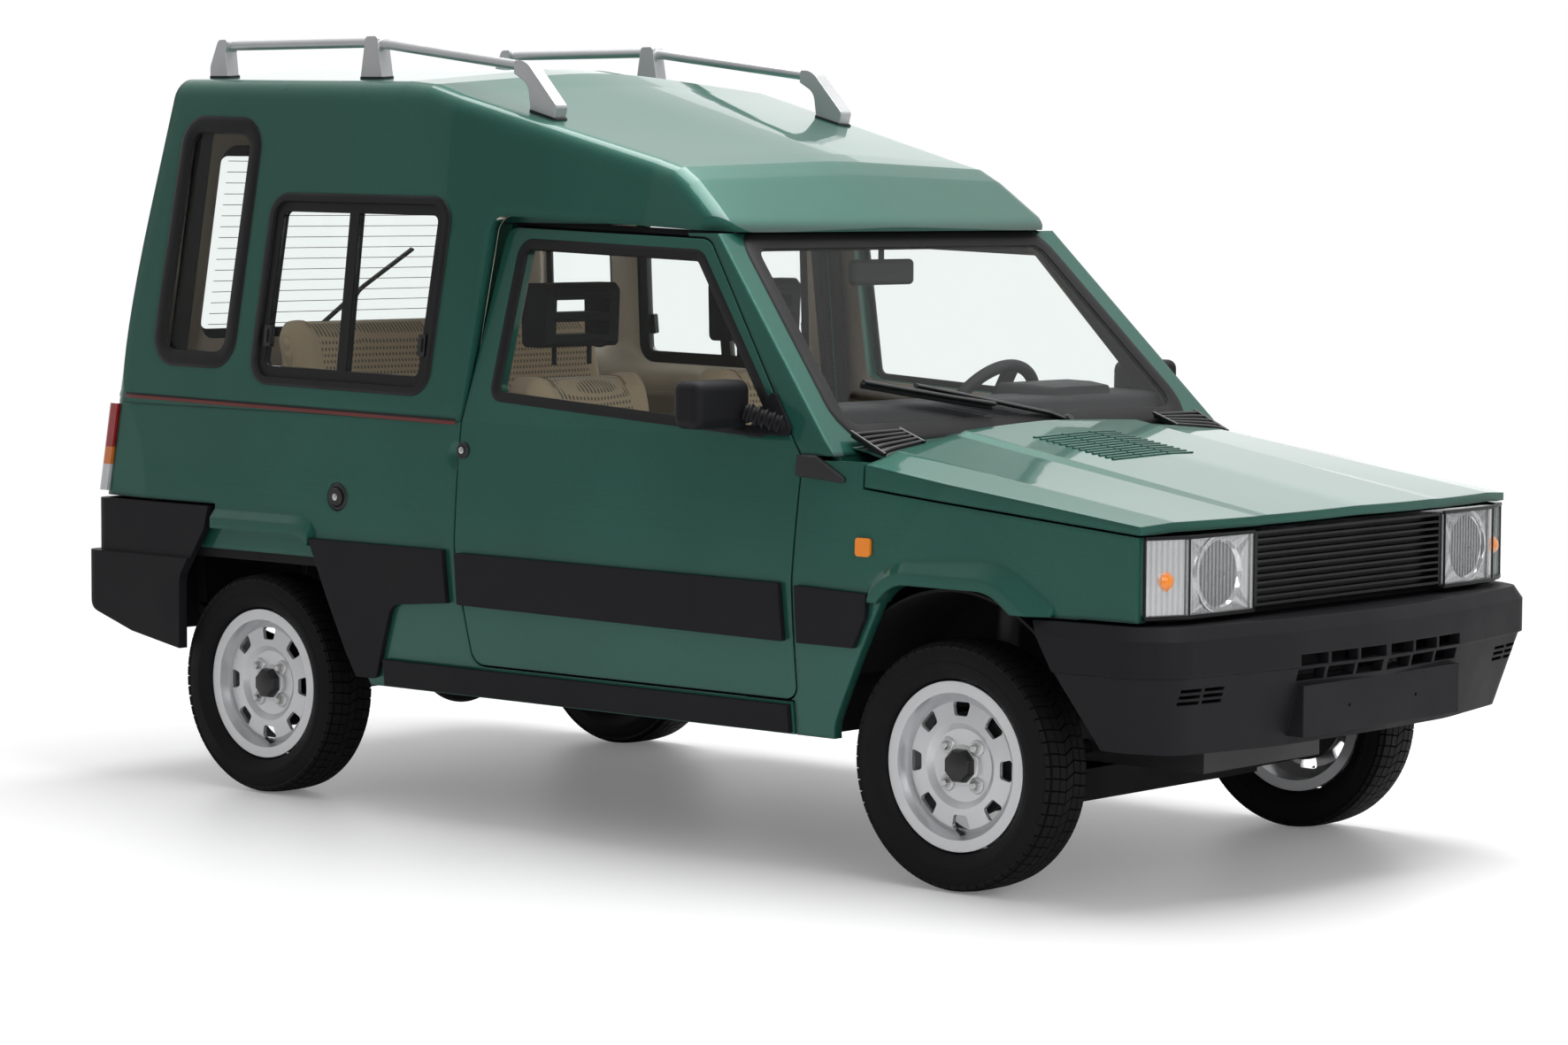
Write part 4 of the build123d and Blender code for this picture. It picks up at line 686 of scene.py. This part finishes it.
# locks, fuel cap and hinge covers
lock = {
    "door": (-372, 874), "lean": 0.06,
    "lockRows": [([(19, -1), (19, 3), (16, 6.5), (11, 7), (10, 5)], 28, 0),
                 ([(8, 4), (8, 8), (6.5, 9)], 20, 1)],
    "hinge": [(646, 866), (652, 912), (706, 912), (788, 868), (788, 856)], "hingeRadii": [6, 6, 8, 5, 5],
    "fuel": (-794, -713, 744),
    "fuelRows": [([(33, -0.5), (33, 7), (30, 10), (25, 10), (23, 7)], 40, 0),
                 ([(22, 2), (22, 13), (19, 16), (10, 16), (9, 13)], 32, 0),
                 ([(8.5, 12), (8.5, 17), (7, 18)], 20, 1)],
}
for hand, side, door in hands:
    bm = bmesh.new()
    spot = onSide(["door_" + hand], side)(*lock["door"], 0) * 1000
    latheRows(bm, aimed(spot, (0, side, lock["lean"])), lock["lockRows"])
    newPiece("doorLock_" + hand, bm, [capBlack, boltSteel], door)
    bm = bmesh.new()
    cover = roundedLoop(lock["hinge"], lock["hingeRadii"])
    pad(bm, cover, onSide(["front_wings", "cab_frame"], side), -2, 7, 3)
    newPiece("hingeCover_" + hand, bm, capBlack, sharp=25)
bm = bmesh.new()
latheRows(bm, aimed(lock["fuel"], (0, -1, 0)), lock["fuelRows"])
newPiece("fuelCap", bm, [capBlack, boltSteel])
print("side fittings placed")

# cowl panel with its corner vents, and the bonnet's pressed louvres
cowl = {
    "rearX": 730, "rearZ": 938, "steps": 40, "half": 640, "droop": 10, "crown": (0, 0, 2), "under": (0, 0, -4),
    "bonnetX": 780, "bow": 62, "bonnetHalf": 660, "overlap": 8, "front": (-5, 0, -3), "fold": (-7, 0, -24),
    "frontUnder": (-3, 0, -4.8),
}
vent = {"inner": 470, "outer": 634, "steps": 6, "front": (-8, 0, -2), "rear": (732, 957),
            "sink": (0, 0, -8), "slats": 5, "slat": (9, 9), "slatUp": (0, 0, 3), "rim": (10, 9),
            "rimUp": (0, 0, 4)}
louvre = {"rows": 13, "x": 900, "pitch": 18, "spans": [(-205, -110), (-104, -10), (-4, 90)],
              "size": (9, 5), "proud": 0.4}
bonnetTop = onTop(["bonnet"])


def bonnetRear(y):  # a point of the bonnet's bowed rear edge
    x = cowl["bonnetX"] + cowl["bow"] * (y / cowl["bonnetHalf"]) ** 2
    return Vector((x, y, bonnetTop(x + cowl["overlap"], y, 0).z * 1000))


bm = bmesh.new()
loops = []
under = Vector(cowl["under"])
for k in range(cowl["steps"] + 1):
    y = cowl["half"] * (2 * k / cowl["steps"] - 1)
    edge = bonnetRear(y)
    front = edge + Vector(cowl["front"])
    drop = cowl["droop"] * (abs(y) / cowl["half"]) ** 2
    rear = Vector((cowl["rearX"] + drop, y, cowl["rearZ"] - drop))
    middle = (front + rear) / 2 + Vector(cowl["crown"])
    ring = [edge + Vector(cowl["fold"]), front, middle, rear, rear + under, middle + under,
            front + Vector(cowl["frontUnder"])]
    loops.append([mm(*p) for p in ring])
addLoops(bm, loops)
newPiece("cowlPanel", bm, paint)
bm = bmesh.new()
sink = Vector(vent["sink"])
x, z = vent["rear"]
for side in (-1, 1):
    edges = []
    for k in range(vent["steps"] + 1):
        y = side * (vent["inner"] + (vent["outer"] - vent["inner"]) * k / vent["steps"])
        edges.append((bonnetRear(y) + Vector(vent["front"]), Vector((x, y, z))))
    addLoops(bm, [[mm(*p) for p in (front, rear, rear + sink, front + sink)] for front, rear in edges])
    for slat in range(vent["slats"]):
        t = (slat + 0.5) / vent["slats"]
        tube(bm, [front.lerp(rear, t) + Vector(vent["slatUp"]) for front, rear in edges], vent["slat"])
    for ends in (edges[0], edges[-1]):
        tube(bm, [p + Vector(vent["rimUp"]) for p in ends], vent["rim"])
newPiece("cowlVents", bm, capBlack, sharp=60)
bm = bmesh.new()
for row in range(louvre["rows"]):
    x = louvre["x"] + row * louvre["pitch"]
    for y0, y1 in louvre["spans"]:
        across = (y0, (y0 + y1) / 2, y1)
        tube(bm, [(x, y, bonnetTop(x, y, louvre["proud"]).z * 1000) for y in across], louvre["size"])
newPiece("bonnetLouvres", bm, paint, "bonnet_lid", sharp=60)

# wipers
wiper = {
    "armFront": [(727, 144, 956), (712, 92, 974), (668, -178, 1024), (645, -308, 1047)], "armSize": (18, 11),
    "bladeFront": [(640, -493, 1054), (656, -380, 1036), (676, -230, 1013), (696, -99, 994)],
    "backOver": (8, 0, 7), "backSize": (15, 11), "lipSize": (6, 14),
    "pivot": [(13, -22), (13, 6), (9, 12)], "pivotAim": (0.74, 0, 0.67),
    "pivotAt": (40, 1072), "bladeRear": [(-20, 1112), (120, 1215), (280, 1312)], "backHigh": 15, "lipHigh": 7,
    "gatePivot": [(22, -12), (22, 4), (15, 14)], "gateAim": (-0.98, 0, 0.19),
}
bm = bmesh.new()
tube(bm, wiper["armFront"], wiper["armSize"])
lathe(bm, wiper["pivot"], 20, aimed(wiper["armFront"][0], wiper["pivotAim"]))
back = [Vector(p) + Vector(wiper["backOver"]) for p in wiper["bladeFront"]]
tube(bm, back, wiper["backSize"])
tube(bm, wiper["bladeFront"], wiper["lipSize"], 1)
newPiece("screenWiper", bm, [capBlack, rubber], sharp=50)
bm = bmesh.new()
pivot = tailPlane(*wiper["pivotAt"], 10) * 1000
back = [tailPlane(v, w, wiper["backHigh"]) * 1000 for v, w in wiper["bladeRear"]]
lip = [tailPlane(v, w, wiper["lipHigh"]) * 1000 for v, w in wiper["bladeRear"]]
lathe(bm, wiper["gatePivot"], 24, aimed(pivot, wiper["gateAim"]))
tube(bm, [pivot + Vector((-6, 0, 0)), (pivot + back[1]) / 2 + Vector((-8, 0, 4)), back[1]], (13, 8))
tube(bm, back, (8, 9))
tube(bm, lip, (4, 8), 1)
newPiece("gateWiper", bm, [capBlack, rubber], "gate", sharp=50)
print("cowl, louvres and wipers placed")

# lamps: bezels, bulbs and the corner indicators
lamp = {
    "bowl": (1562, 472, 698), "corner": (1546, 622, 690),
    "bowlRows": [([(16, -2), (16, 4), (10, 8), (9, 22), (6, 26)], 24, 0),
                 ([(7, 25), (7.5, 34), (4, 40)], 16, 1), ([(82, 26), (82, 31), (78, 31), (78, 26)], 48, 0)],
    "cornerRows": [([(12, -8), (12, 6), (9, 8)], 20, 0),
                   ([(10, 8), (19, 13), (21, 22), (14, 30), (5, 33)], 24, 2)],
    "bars": [(776, 783), (612, 620)], "post": (617, 779), "postSize": (5, 6), "postLean": 0.5,
    "plan": [(1600, 362), (1606, 364), (1597, 582), (1556, 680), (1549, 676), (1588, 580)],
    "posts": [(1604, 366), (1594, 580), (1553, 678)],
}
for hand, side, door in hands:
    bm = bmesh.new()
    for spot in ("bowl", "corner"):
        latheRows(bm, aimed(handed(lamp[spot], side), (1, 0, 0)), lamp[spot + "Rows"])
    newPiece("lampBulbs_" + hand, bm, [reflector, bulbGlass, amberLens])
    bm = bmesh.new()
    for levels in lamp["bars"]:
        addLoops(bm, [[mm(x, side * y, level) for x, y in lamp["plan"]] for level in levels])
    low, high = lamp["post"]
    for x, y in lamp["posts"]:
        tube(bm, [(x, side * y, low), (x - lamp["postLean"], side * y, high)], lamp["postSize"])
    newPiece("lampBezel_" + hand, bm, grilleBlack)

# mirrors: glass and bellows
mirror = {
    "at": (429, 792, 1016), "size": (144, 80), "ridges": 5, "ridge": [(18, -6), (23, -1), (23, 1), (18, 6)],
    "outer": (530, 735, 996), "inner": (590, 702, 974), "aim": (86, -48, -32),
}
for hand, side, door in hands:
    bm = bmesh.new()
    middle = handed(mirror["at"], side)
    face = roundedLoop(rectangle(0, 0, *mirror["size"]), 16)
    pad(bm, face, lambda u, v, h: (middle + Vector((-h, u, v))) / 1000, -3, 2.5, 1)
    newPiece("mirrorGlass_" + hand, bm, mirrorGlass, door)
    bm = bmesh.new()
    outer, inner, aim = (handed(mirror[k], side) for k in ("outer", "inner", "aim"))
    for k in range(mirror["ridges"]):
        at = outer.lerp(inner, k / (mirror["ridges"] - 1))
        lathe(bm, mirror["ridge"], 24, aimed(at, aim))
    newPiece("mirrorBellows_" + hand, bm, rubber, door)
print("lamps and mirrors dressed")

# inner trim: skins laid on the inside faces of the panels
trim = {"lift": 0.0015, "thick": 0.001, "heartRear": -1.2, "heartFront": 0.1, "heartZ": 1.1,
            "toHeart": 0.35, "rimZ": 1.45, "recessX": -0.6}


def innerSkin(name, node, finish, body, facing):
    bm = bmesh.new()
    bm.from_mesh(nodes[node].data)
    bmesh.ops.remove_doubles(bm, verts=bm.verts, dist=1e-5)
    bm.normal_update()
    drop = [face for face in bm.faces if not facing(face.calc_center_median(), face.normal)]
    bmesh.ops.delete(bm, geom=drop, context="FACES")
    bm.normal_update()
    for vert in bm.verts:
        vert.co += vert.normal * trim["lift"]
    for face in bm.faces:
        face.material_index = 0
    piece = newPiece(name, bm, finish, body, outward=False)
    piece.modifiers.new("skin", "SOLIDIFY").thickness = trim["thick"]


def facesCabin(centre, normal):
    heart = Vector((min(max(centre.x, trim["heartRear"]), trim["heartFront"]), 0, trim["heartZ"]))
    return normal.dot((heart - centre).normalized()) > trim["toHeart"]


def facesMiddle(centre, normal):
    return normal.y * centre.y < 0 and abs(normal.y) > 0.5


def facesHeadroom(centre, normal):  # the roof's inside, without its lower rim and door recess edges
    rim = normal.z < -0.9 and centre.z < trim["rimZ"]
    recess = abs(normal.x) > 0.9 and centre.x > trim["recessX"]
    return facesCabin(centre, normal) and not rim and not recess


def facesQuarter(centre, normal):
    return facesMiddle(centre, normal) and centre.z > 0.6 and centre.x < 0.6


innerSkin("headliningSkin", "high_roof", headlining, "body", facesHeadroom)
innerSkin("quarterTrim", "side_panels", cardTrim, "body", facesQuarter)
innerSkin("pillarTrim", "cab_frame", darkTrim, "body", facesCabin)
innerSkin("doorCard_right", "door_right", cardTrim, "door_r", facesMiddle)
innerSkin("doorCard_left", "door_left", cardTrim, "door_l", facesMiddle)
innerSkin("gateCard", "tailgate", cardTrim, "gate", lambda c, n: n.x > 0.6)
innerSkin("floorCarpet", "floor_pan", carpet, "body", lambda c, n: n.z > 0.6 or (n.x < -0.7 and c.x > 0.6))
print("inner trim laid")

# seats: stuffed cushions with piped seams
seat = {
    "cushion": [(148, 445), (168, 536), (146, 560), (-250, 536), (-278, 446)], "up": (0, 1),
    "back": [(-262, 500), (-248, 562), (-338, 1020), (-356, 1046), (-414, 1048), (-428, 1022), (-352, 500)],
    "frontY": (-330, 330), "frontHalf": 218, "backHalf": 212, "frontSeam": 122, "bolster": 16,
    "ahead": (0.98, 0.19), "bench": [(-672, 606), (-664, 696), (-694, 712), (-1032, 690), (-1036, 606)],
    "benchBack": [(-1058, 640), (-1046, 706), (-1150, 1138), (-1166, 1160), (-1206, 1160), (-1220, 1140),
                  (-1146, 640)],
    "rearHalf": 546, "rearSeam": 480, "rearBolster": 8, "rearAhead": (0.97, 0.23), "radius": 16, "rim": 22,
    "voxel": 0.009, "quickVoxel": 0.0144, "pressure": 4.0, "cap": 0.016, "frames": 20,
    "piping": 3.2, "castFrom": 80, "base": (300, 360), "baseX": -65, "baseZ": (326, 446), "barX": (-150, 40),
    "barHalf": 196, "barZ": 340, "barSize": (26, 16),
}


def middleOf(profile):
    return Vector((sum(p[0] for p in profile), sum(p[1] for p in profile))) / len(profile)


def cushionMesh(label, half, seam, bolster, facing):  # sections from side to side, raised on the face
    profile, face = seat[label], Vector(seat[facing])
    middle = middleOf(profile)
    near = [(half, 0.86, 0), (half - seat["rim"], 0.99, 0.8), ((half + seam) / 2, 1.0, 1.0),
            (seam, 1.0, 0.1)]
    loops = []
    for y, scale, lift in [(-y, scale, lift) for y, scale, lift in near] + [(0, 1.0, 0.35)] + near[::-1]:
        loop = []
        for point in roundedLoop(profile, seat["radius"], 3):
            spread = (point - middle) * scale
            raised = face * (bolster * lift) if spread.dot(face) > 0 else Vector((0, 0))
            loop.append(middle + spread + raised)
        loops.append((y, loop))
    return loops


def swell(piece, solid):  # cloth under pressure, each point held to the cap
    rest = [v.co.copy() for v in solid.vertices]
    cloth = piece.modifiers.new("stuffing", "CLOTH")
    cloth.settings.quality = 4
    cloth.settings.mass = 0.3
    cloth.settings.use_pressure = True
    cloth.settings.uniform_pressure_force = seat["pressure"]
    cloth.settings.effector_weights.gravity = 0
    cloth.point_cache.frame_start = 1
    cloth.point_cache.frame_end = seat["frames"]
    for step in range(1, seat["frames"] + 1):
        scene.frame_set(step)
    evaluated = piece.evaluated_get(bpy.context.evaluated_depsgraph_get())
    moved = [v.co.copy() for v in evaluated.to_mesh().vertices]
    evaluated.to_mesh_clear()
    piece.modifiers.clear()
    for vert, old, new in zip(solid.vertices, rest, moved):
        shift = new - old
        if shift.length > seat["cap"]:
            shift = shift * (seat["cap"] / shift.length)
        vert.co = old + shift
    scene.frame_set(1)


def stuffed(name, sets, finish):
    bm = bmesh.new()
    for offset, loops in sets:
        addLoops(bm, [[mm(p.x, offset + y, p.y) for p in loop] for y, loop in loops])
    bmesh.ops.recalc_face_normals(bm, faces=bm.faces)
    piece = newObject(name, bm)
    remesh = piece.modifiers.new("remesh", "REMESH")
    remesh.mode = "VOXEL"
    remesh.voxel_size = seat["voxel"]
    solid = bpy.data.meshes.new_from_object(piece.evaluated_get(bpy.context.evaluated_depsgraph_get()))
    piece.modifiers.clear()
    piece.data = solid
    swell(piece, solid)
    solid.materials.clear()
    solid.materials.append(finish)
    solid.shade_smooth()
    smooth = piece.modifiers.new("settle", "SMOOTH")
    smooth.factor = 0.5
    smooth.iterations = 4
    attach(piece, "body")
    return piece


def seatSeams(name, piece, offsets, label):  # piping cast onto the swollen cushion
    profile, far = seat[label], seat["castFrom"]
    tree = BVHTree.FromObject(piece, bpy.context.evaluated_depsgraph_get())
    middle = middleOf(profile)
    bm = bmesh.new()
    for y in offsets:
        path = []
        for point in roundedLoop(profile, seat["radius"], 4):
            away = (point - middle).normalized()
            start = mm(point.x + away.x * far, y, point.y + away.y * far)
            hit = tree.ray_cast(start, Vector((-away.x, 0, -away.y)))
            if hit[0] is not None:
                path.append(hit[0] * 1000)
        path.append(path[0])
        tube(bm, path, seat["piping"])
    newPiece(name, bm, pipingCloth, sharp=80)


sides, seam, bolster = seat["frontY"], seat["frontSeam"], seat["bolster"]
cushion = cushionMesh("cushion", seat["frontHalf"], seam, bolster, "up")
back = cushionMesh("back", seat["backHalf"], seam, bolster, "ahead")
pair = [stuffed("frontCushions", [(y, cushion) for y in sides], frontCloth),
        stuffed("frontBacks", [(y, back) for y in sides], frontCloth)]
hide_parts("front_seats")
lines = [y + s for y in sides for s in (-seam, seam)]
seatSeams("frontCushionSeams", pair[0], lines, "cushion")
seatSeams("frontBackSeams", pair[1], lines, "back")
half, seam, bolster = seat["rearHalf"], seat["rearSeam"], seat["rearBolster"]
bench = stuffed("rearCushion", [(0, cushionMesh("bench", half, seam, bolster, "up"))], rearCloth)
benchBack = stuffed("rearBack", [(0, cushionMesh("benchBack", half, seam, bolster, "rearAhead"))], rearCloth)
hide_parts("rear_seat")
seatSeams("rearCushionSeams", bench, (-seam, 0, seam), "bench")
seatSeams("rearBackSeams", benchBack, (-seam, 0, seam), "benchBack")
bm = bmesh.new()
for y in sides:
    pad(bm, roundedLoop(rectangle(seat["baseX"], y, *seat["base"]), 20), mm, *seat["baseZ"], 6)
    for x in seat["barX"]:
        ends = [(x, y + s * seat["barHalf"], seat["barZ"]) for s in (-1, 1)]
        tube(bm, ends, seat["barSize"])
newPiece("seatFrames", bm, underSteel)
print("seats stuffed")

# rear glass heater lines, gate handle and blank plate
gate = {
    "lines": 16, "low": 1130, "high": 1545, "line": (860, 1.6), "lineDepth": (-15.2, -14.3),
    "plate": (0, 799, 524, 114), "hood": (0, 893, 240, 26), "lockZ": 960, "lockAim": (-0.98, 0, 0.19),
    "lock": [(15, -1), (15, 6), (12, 10), (7, 10)],
}
bm = bmesh.new()
for k in range(gate["lines"]):
    z = gate["low"] + (gate["high"] - gate["low"]) * k / (gate["lines"] - 1)
    pad(bm, rectangle(0, z, *gate["line"]), tailPlane, *gate["lineDepth"], 0.2)
newPiece("heaterLines", bm, heaterLine, "gate")
bm = bmesh.new()
pad(bm, roundedLoop(rectangle(*gate["plate"]), 10), tailPlane, -1, 5, 2)
newPiece("gatePlate", bm, plastic, "gate")
bm = bmesh.new()
pad(bm, roundedLoop(rectangle(*gate["hood"]), 9), tailPlane, -1, 20, 5)
lathe(bm, gate["lock"], 24, aimed(tailPlane(0, gate["lockZ"], 0) * 1000, gate["lockAim"]))
newPiece("gateHandle", bm, capBlack, "gate")

# instrument binnacle, dash vents and head restraint ridges
dash = {
    "binnacle": [(-140, 0), (-132, 30), (132, 30), (140, 0)], "radii": [1, 14, 14, 1], "at": (540, 330, 1000),
    "stations": [(-62, 1.0), (-54, 1.03), (20, 0.98), (86, 0.78)],
    "ventY": (-470, -120, 60, 530), "ventHalf": 48, "slats": 4, "slatAt": (486, 905), "slatStep": (2, 13),
    "slat": (6, 8), "ridgeX": -353, "ridgeY": (-330, 330), "ridgeZ": (1112, 1170, 1228), "ridgeHalf": 100,
    "ridge": (5, 6),
}


def crossBar(bm, x, y, z, half, section):
    tube(bm, [(x, y - half, z), (x, y + half, z)], section)


bm = bmesh.new()
x, y, z = dash["at"]
outline = roundedLoop(dash["binnacle"], dash["radii"], 5)
addLoops(bm, [[mm(x + along, y + p.x * scale, z + p.y * scale) for p in outline]
              for along, scale in dash["stations"]])
newPiece("binnacle", bm, darkTrim, sharp=40)
bm = bmesh.new()
x, z = dash["slatAt"]
back, rise = dash["slatStep"]
for y in dash["ventY"]:
    for slat in range(dash["slats"]):
        crossBar(bm, x + slat * back, y, z + slat * rise, dash["ventHalf"], dash["slat"])
newPiece("dashVents", bm, capBlack)
bm = bmesh.new()
for y in dash["ridgeY"]:
    for z in dash["ridgeZ"]:
        crossBar(bm, dash["ridgeX"], y, z, dash["ridgeHalf"], dash["ridge"])
newPiece("headRidges", bm, darkTrim, sharp=60)

# rail gaskets
gasket = {"feet": [(-1437, 500, 38), (-900, 488, 42), (-300, 510, 46)], "wide": 46, "thick": 5,
              "radius": 12}
place = onTop(["high_roof"])
for hand, side, door in hands:
    bm = bmesh.new()
    for x, y, reach in gasket["feet"]:
        foot = rectangle(x, side * y, 2 * reach, gasket["wide"])
        pad(bm, roundedLoop(foot, gasket["radius"]), place, -1, gasket["thick"])
    newPiece("railGaskets_" + hand, bm, rubber)
print("gate, dash and rails dressed")

# stage, light and camera
view = {"place": (6.687, -7.687, 1.501), "yaw": 131.065, "pitch": -4.568, "roll": 0.321, "lens": 98.27}
stage = {"floor": 0.82, "lift": 0.14, "near": 2.6, "far": 6.5, "reach": 40, "world": 0.5, "nearGloss": 0.3,
             "away": (-0.65, 0.76, 0)}
yaw, pitch, roll = (math.radians(view[k]) for k in ("yaw", "pitch", "roll"))
ahead = Vector((math.cos(pitch) * math.cos(yaw), math.cos(pitch) * math.sin(yaw), math.sin(pitch)))
level = Vector((math.sin(yaw), -math.cos(yaw), 0))
up = level.cross(ahead)
right = level * math.cos(roll) + up * math.sin(roll)
top = up * math.cos(roll) - level * math.sin(roll)
data = bpy.data.cameras.new("photoCamera")
data.lens = view["lens"]
data.sensor_fit = "HORIZONTAL"
data.clip_end = 100
cam = bpy.data.objects.new("photoCamera", data)
scene.collection.objects.link(cam)
cam.matrix_world = Matrix.Translation(view["place"]) @ Matrix((right, top, -ahead)).transposed().to_4x4()
scene.camera = cam


def seenRays(tree):  # camera and glass rays, as one factor
    path = addNode(tree, "LightPath")
    return mathNode(tree, "MAXIMUM", path.outputs["Is Camera Ray"], path.outputs["Is Transmission Ray"])


size = stage["reach"]
corners = [(-size, -size, 0), (size, -size, 0), (size, size, 0), (-size, size, 0)]
mesh = bpy.data.meshes.new("floor")
mesh.from_pydata(corners, [], [(0, 1, 2, 3)])
floor = bpy.data.objects.new("floor", mesh)
scene.collection.objects.link(floor)
tone = stage["floor"]
mat, tree, shader = material("paleFloor", Base_Color=(tone, tone, tone, 1), Roughness=0.5)
seen = seenRays(tree)
coord = addNode(tree, "TexCoord")
reach = addNode(tree, "VectorMath", operation="LENGTH")
wire(tree, coord, "Object", reach, 0)
fade = addNode(tree, "MapRange", interpolation_type="SMOOTHSTEP",
               in_From_Min=stage["near"], in_From_Max=stage["far"])
wire(tree, reach, "Value", fade, "Value")
glow = addNode(tree, "Emission")
tree.links.new(mathNode(tree, "MULTIPLY", seen, stage["lift"]), glow.inputs["Strength"])
lifted = addNode(tree, "AddShader")
wire(tree, shader, "BSDF", lifted, 0)
wire(tree, glow, "Emission", lifted, 1)
white = addNode(tree, "Emission")
blend = addNode(tree, "MixShader")
tree.links.new(mathNode(tree, "MULTIPLY", seen, fade.outputs["Result"]), blend.inputs["Fac"])
wire(tree, lifted, "Shader", blend, 1)
wire(tree, white, "Emission", blend, 2)
tree.links.new(blend.outputs["Shader"], tree.nodes["Material Output"].inputs["Surface"])
mesh.materials.append(mat)
world = bpy.data.worlds.new("softStudio")
scene.world = world
world.use_nodes = True
tree = world.node_tree
back = tree.nodes["Background"]
coord = addNode(tree, "TexCoord")
facing = addNode(tree, "VectorMath", operation="DOT_PRODUCT")
facing.inputs[1].default_value = stage["away"]
wire(tree, coord, "Generated", facing, 0)
backdrop = addNode(tree, "MapRange", in_From_Min=-0.2, in_From_Max=0.6, in_To_Min=stage["nearGloss"])
wire(tree, facing, "Value", backdrop, "Value")
path = addNode(tree, "LightPath")
gloss = mathNode(tree, "MULTIPLY", path.outputs["Is Glossy Ray"], backdrop.outputs["Result"])
ambient = mathNode(tree, "MULTIPLY", path.outputs["Is Diffuse Ray"], stage["world"])
unseen = mathNode(tree, "MAXIMUM", gloss, ambient)
tree.links.new(mathNode(tree, "MAXIMUM", seenRays(tree), unseen), back.inputs["Strength"])
back.inputs["Color"].default_value = (1, 1, 1, 1)


def softLamp(name, place, aim, size, power):
    data = bpy.data.lights.new(name, "AREA")
    data.shape = "RECTANGLE"
    data.size, data.size_y = size
    data.energy = power
    lamp = bpy.data.objects.new(name, data)
    scene.collection.objects.link(lamp)
    lamp.location = place
    lamp.rotation_euler = (Vector(aim) - Vector(place)).to_track_quat("-Z", "Y").to_euler()
    lamp.visible_camera = lamp.visible_transmission = False


softLamp("ceilingSoft", (0.3, 0.9, 5.5), (0, 0.2, 0), (7, 3.6), 400)
softLamp("frontSoft", (7.0, -3.0, 3.2), (0.4, 0, 0.8), (4, 3), 120)
softLamp("backSoft", (-6.5, 7.5, 2.4), (0, 0, 0.9), (13, 4.6), 90)
scene.view_settings.view_transform = "Standard"
print("stage set")
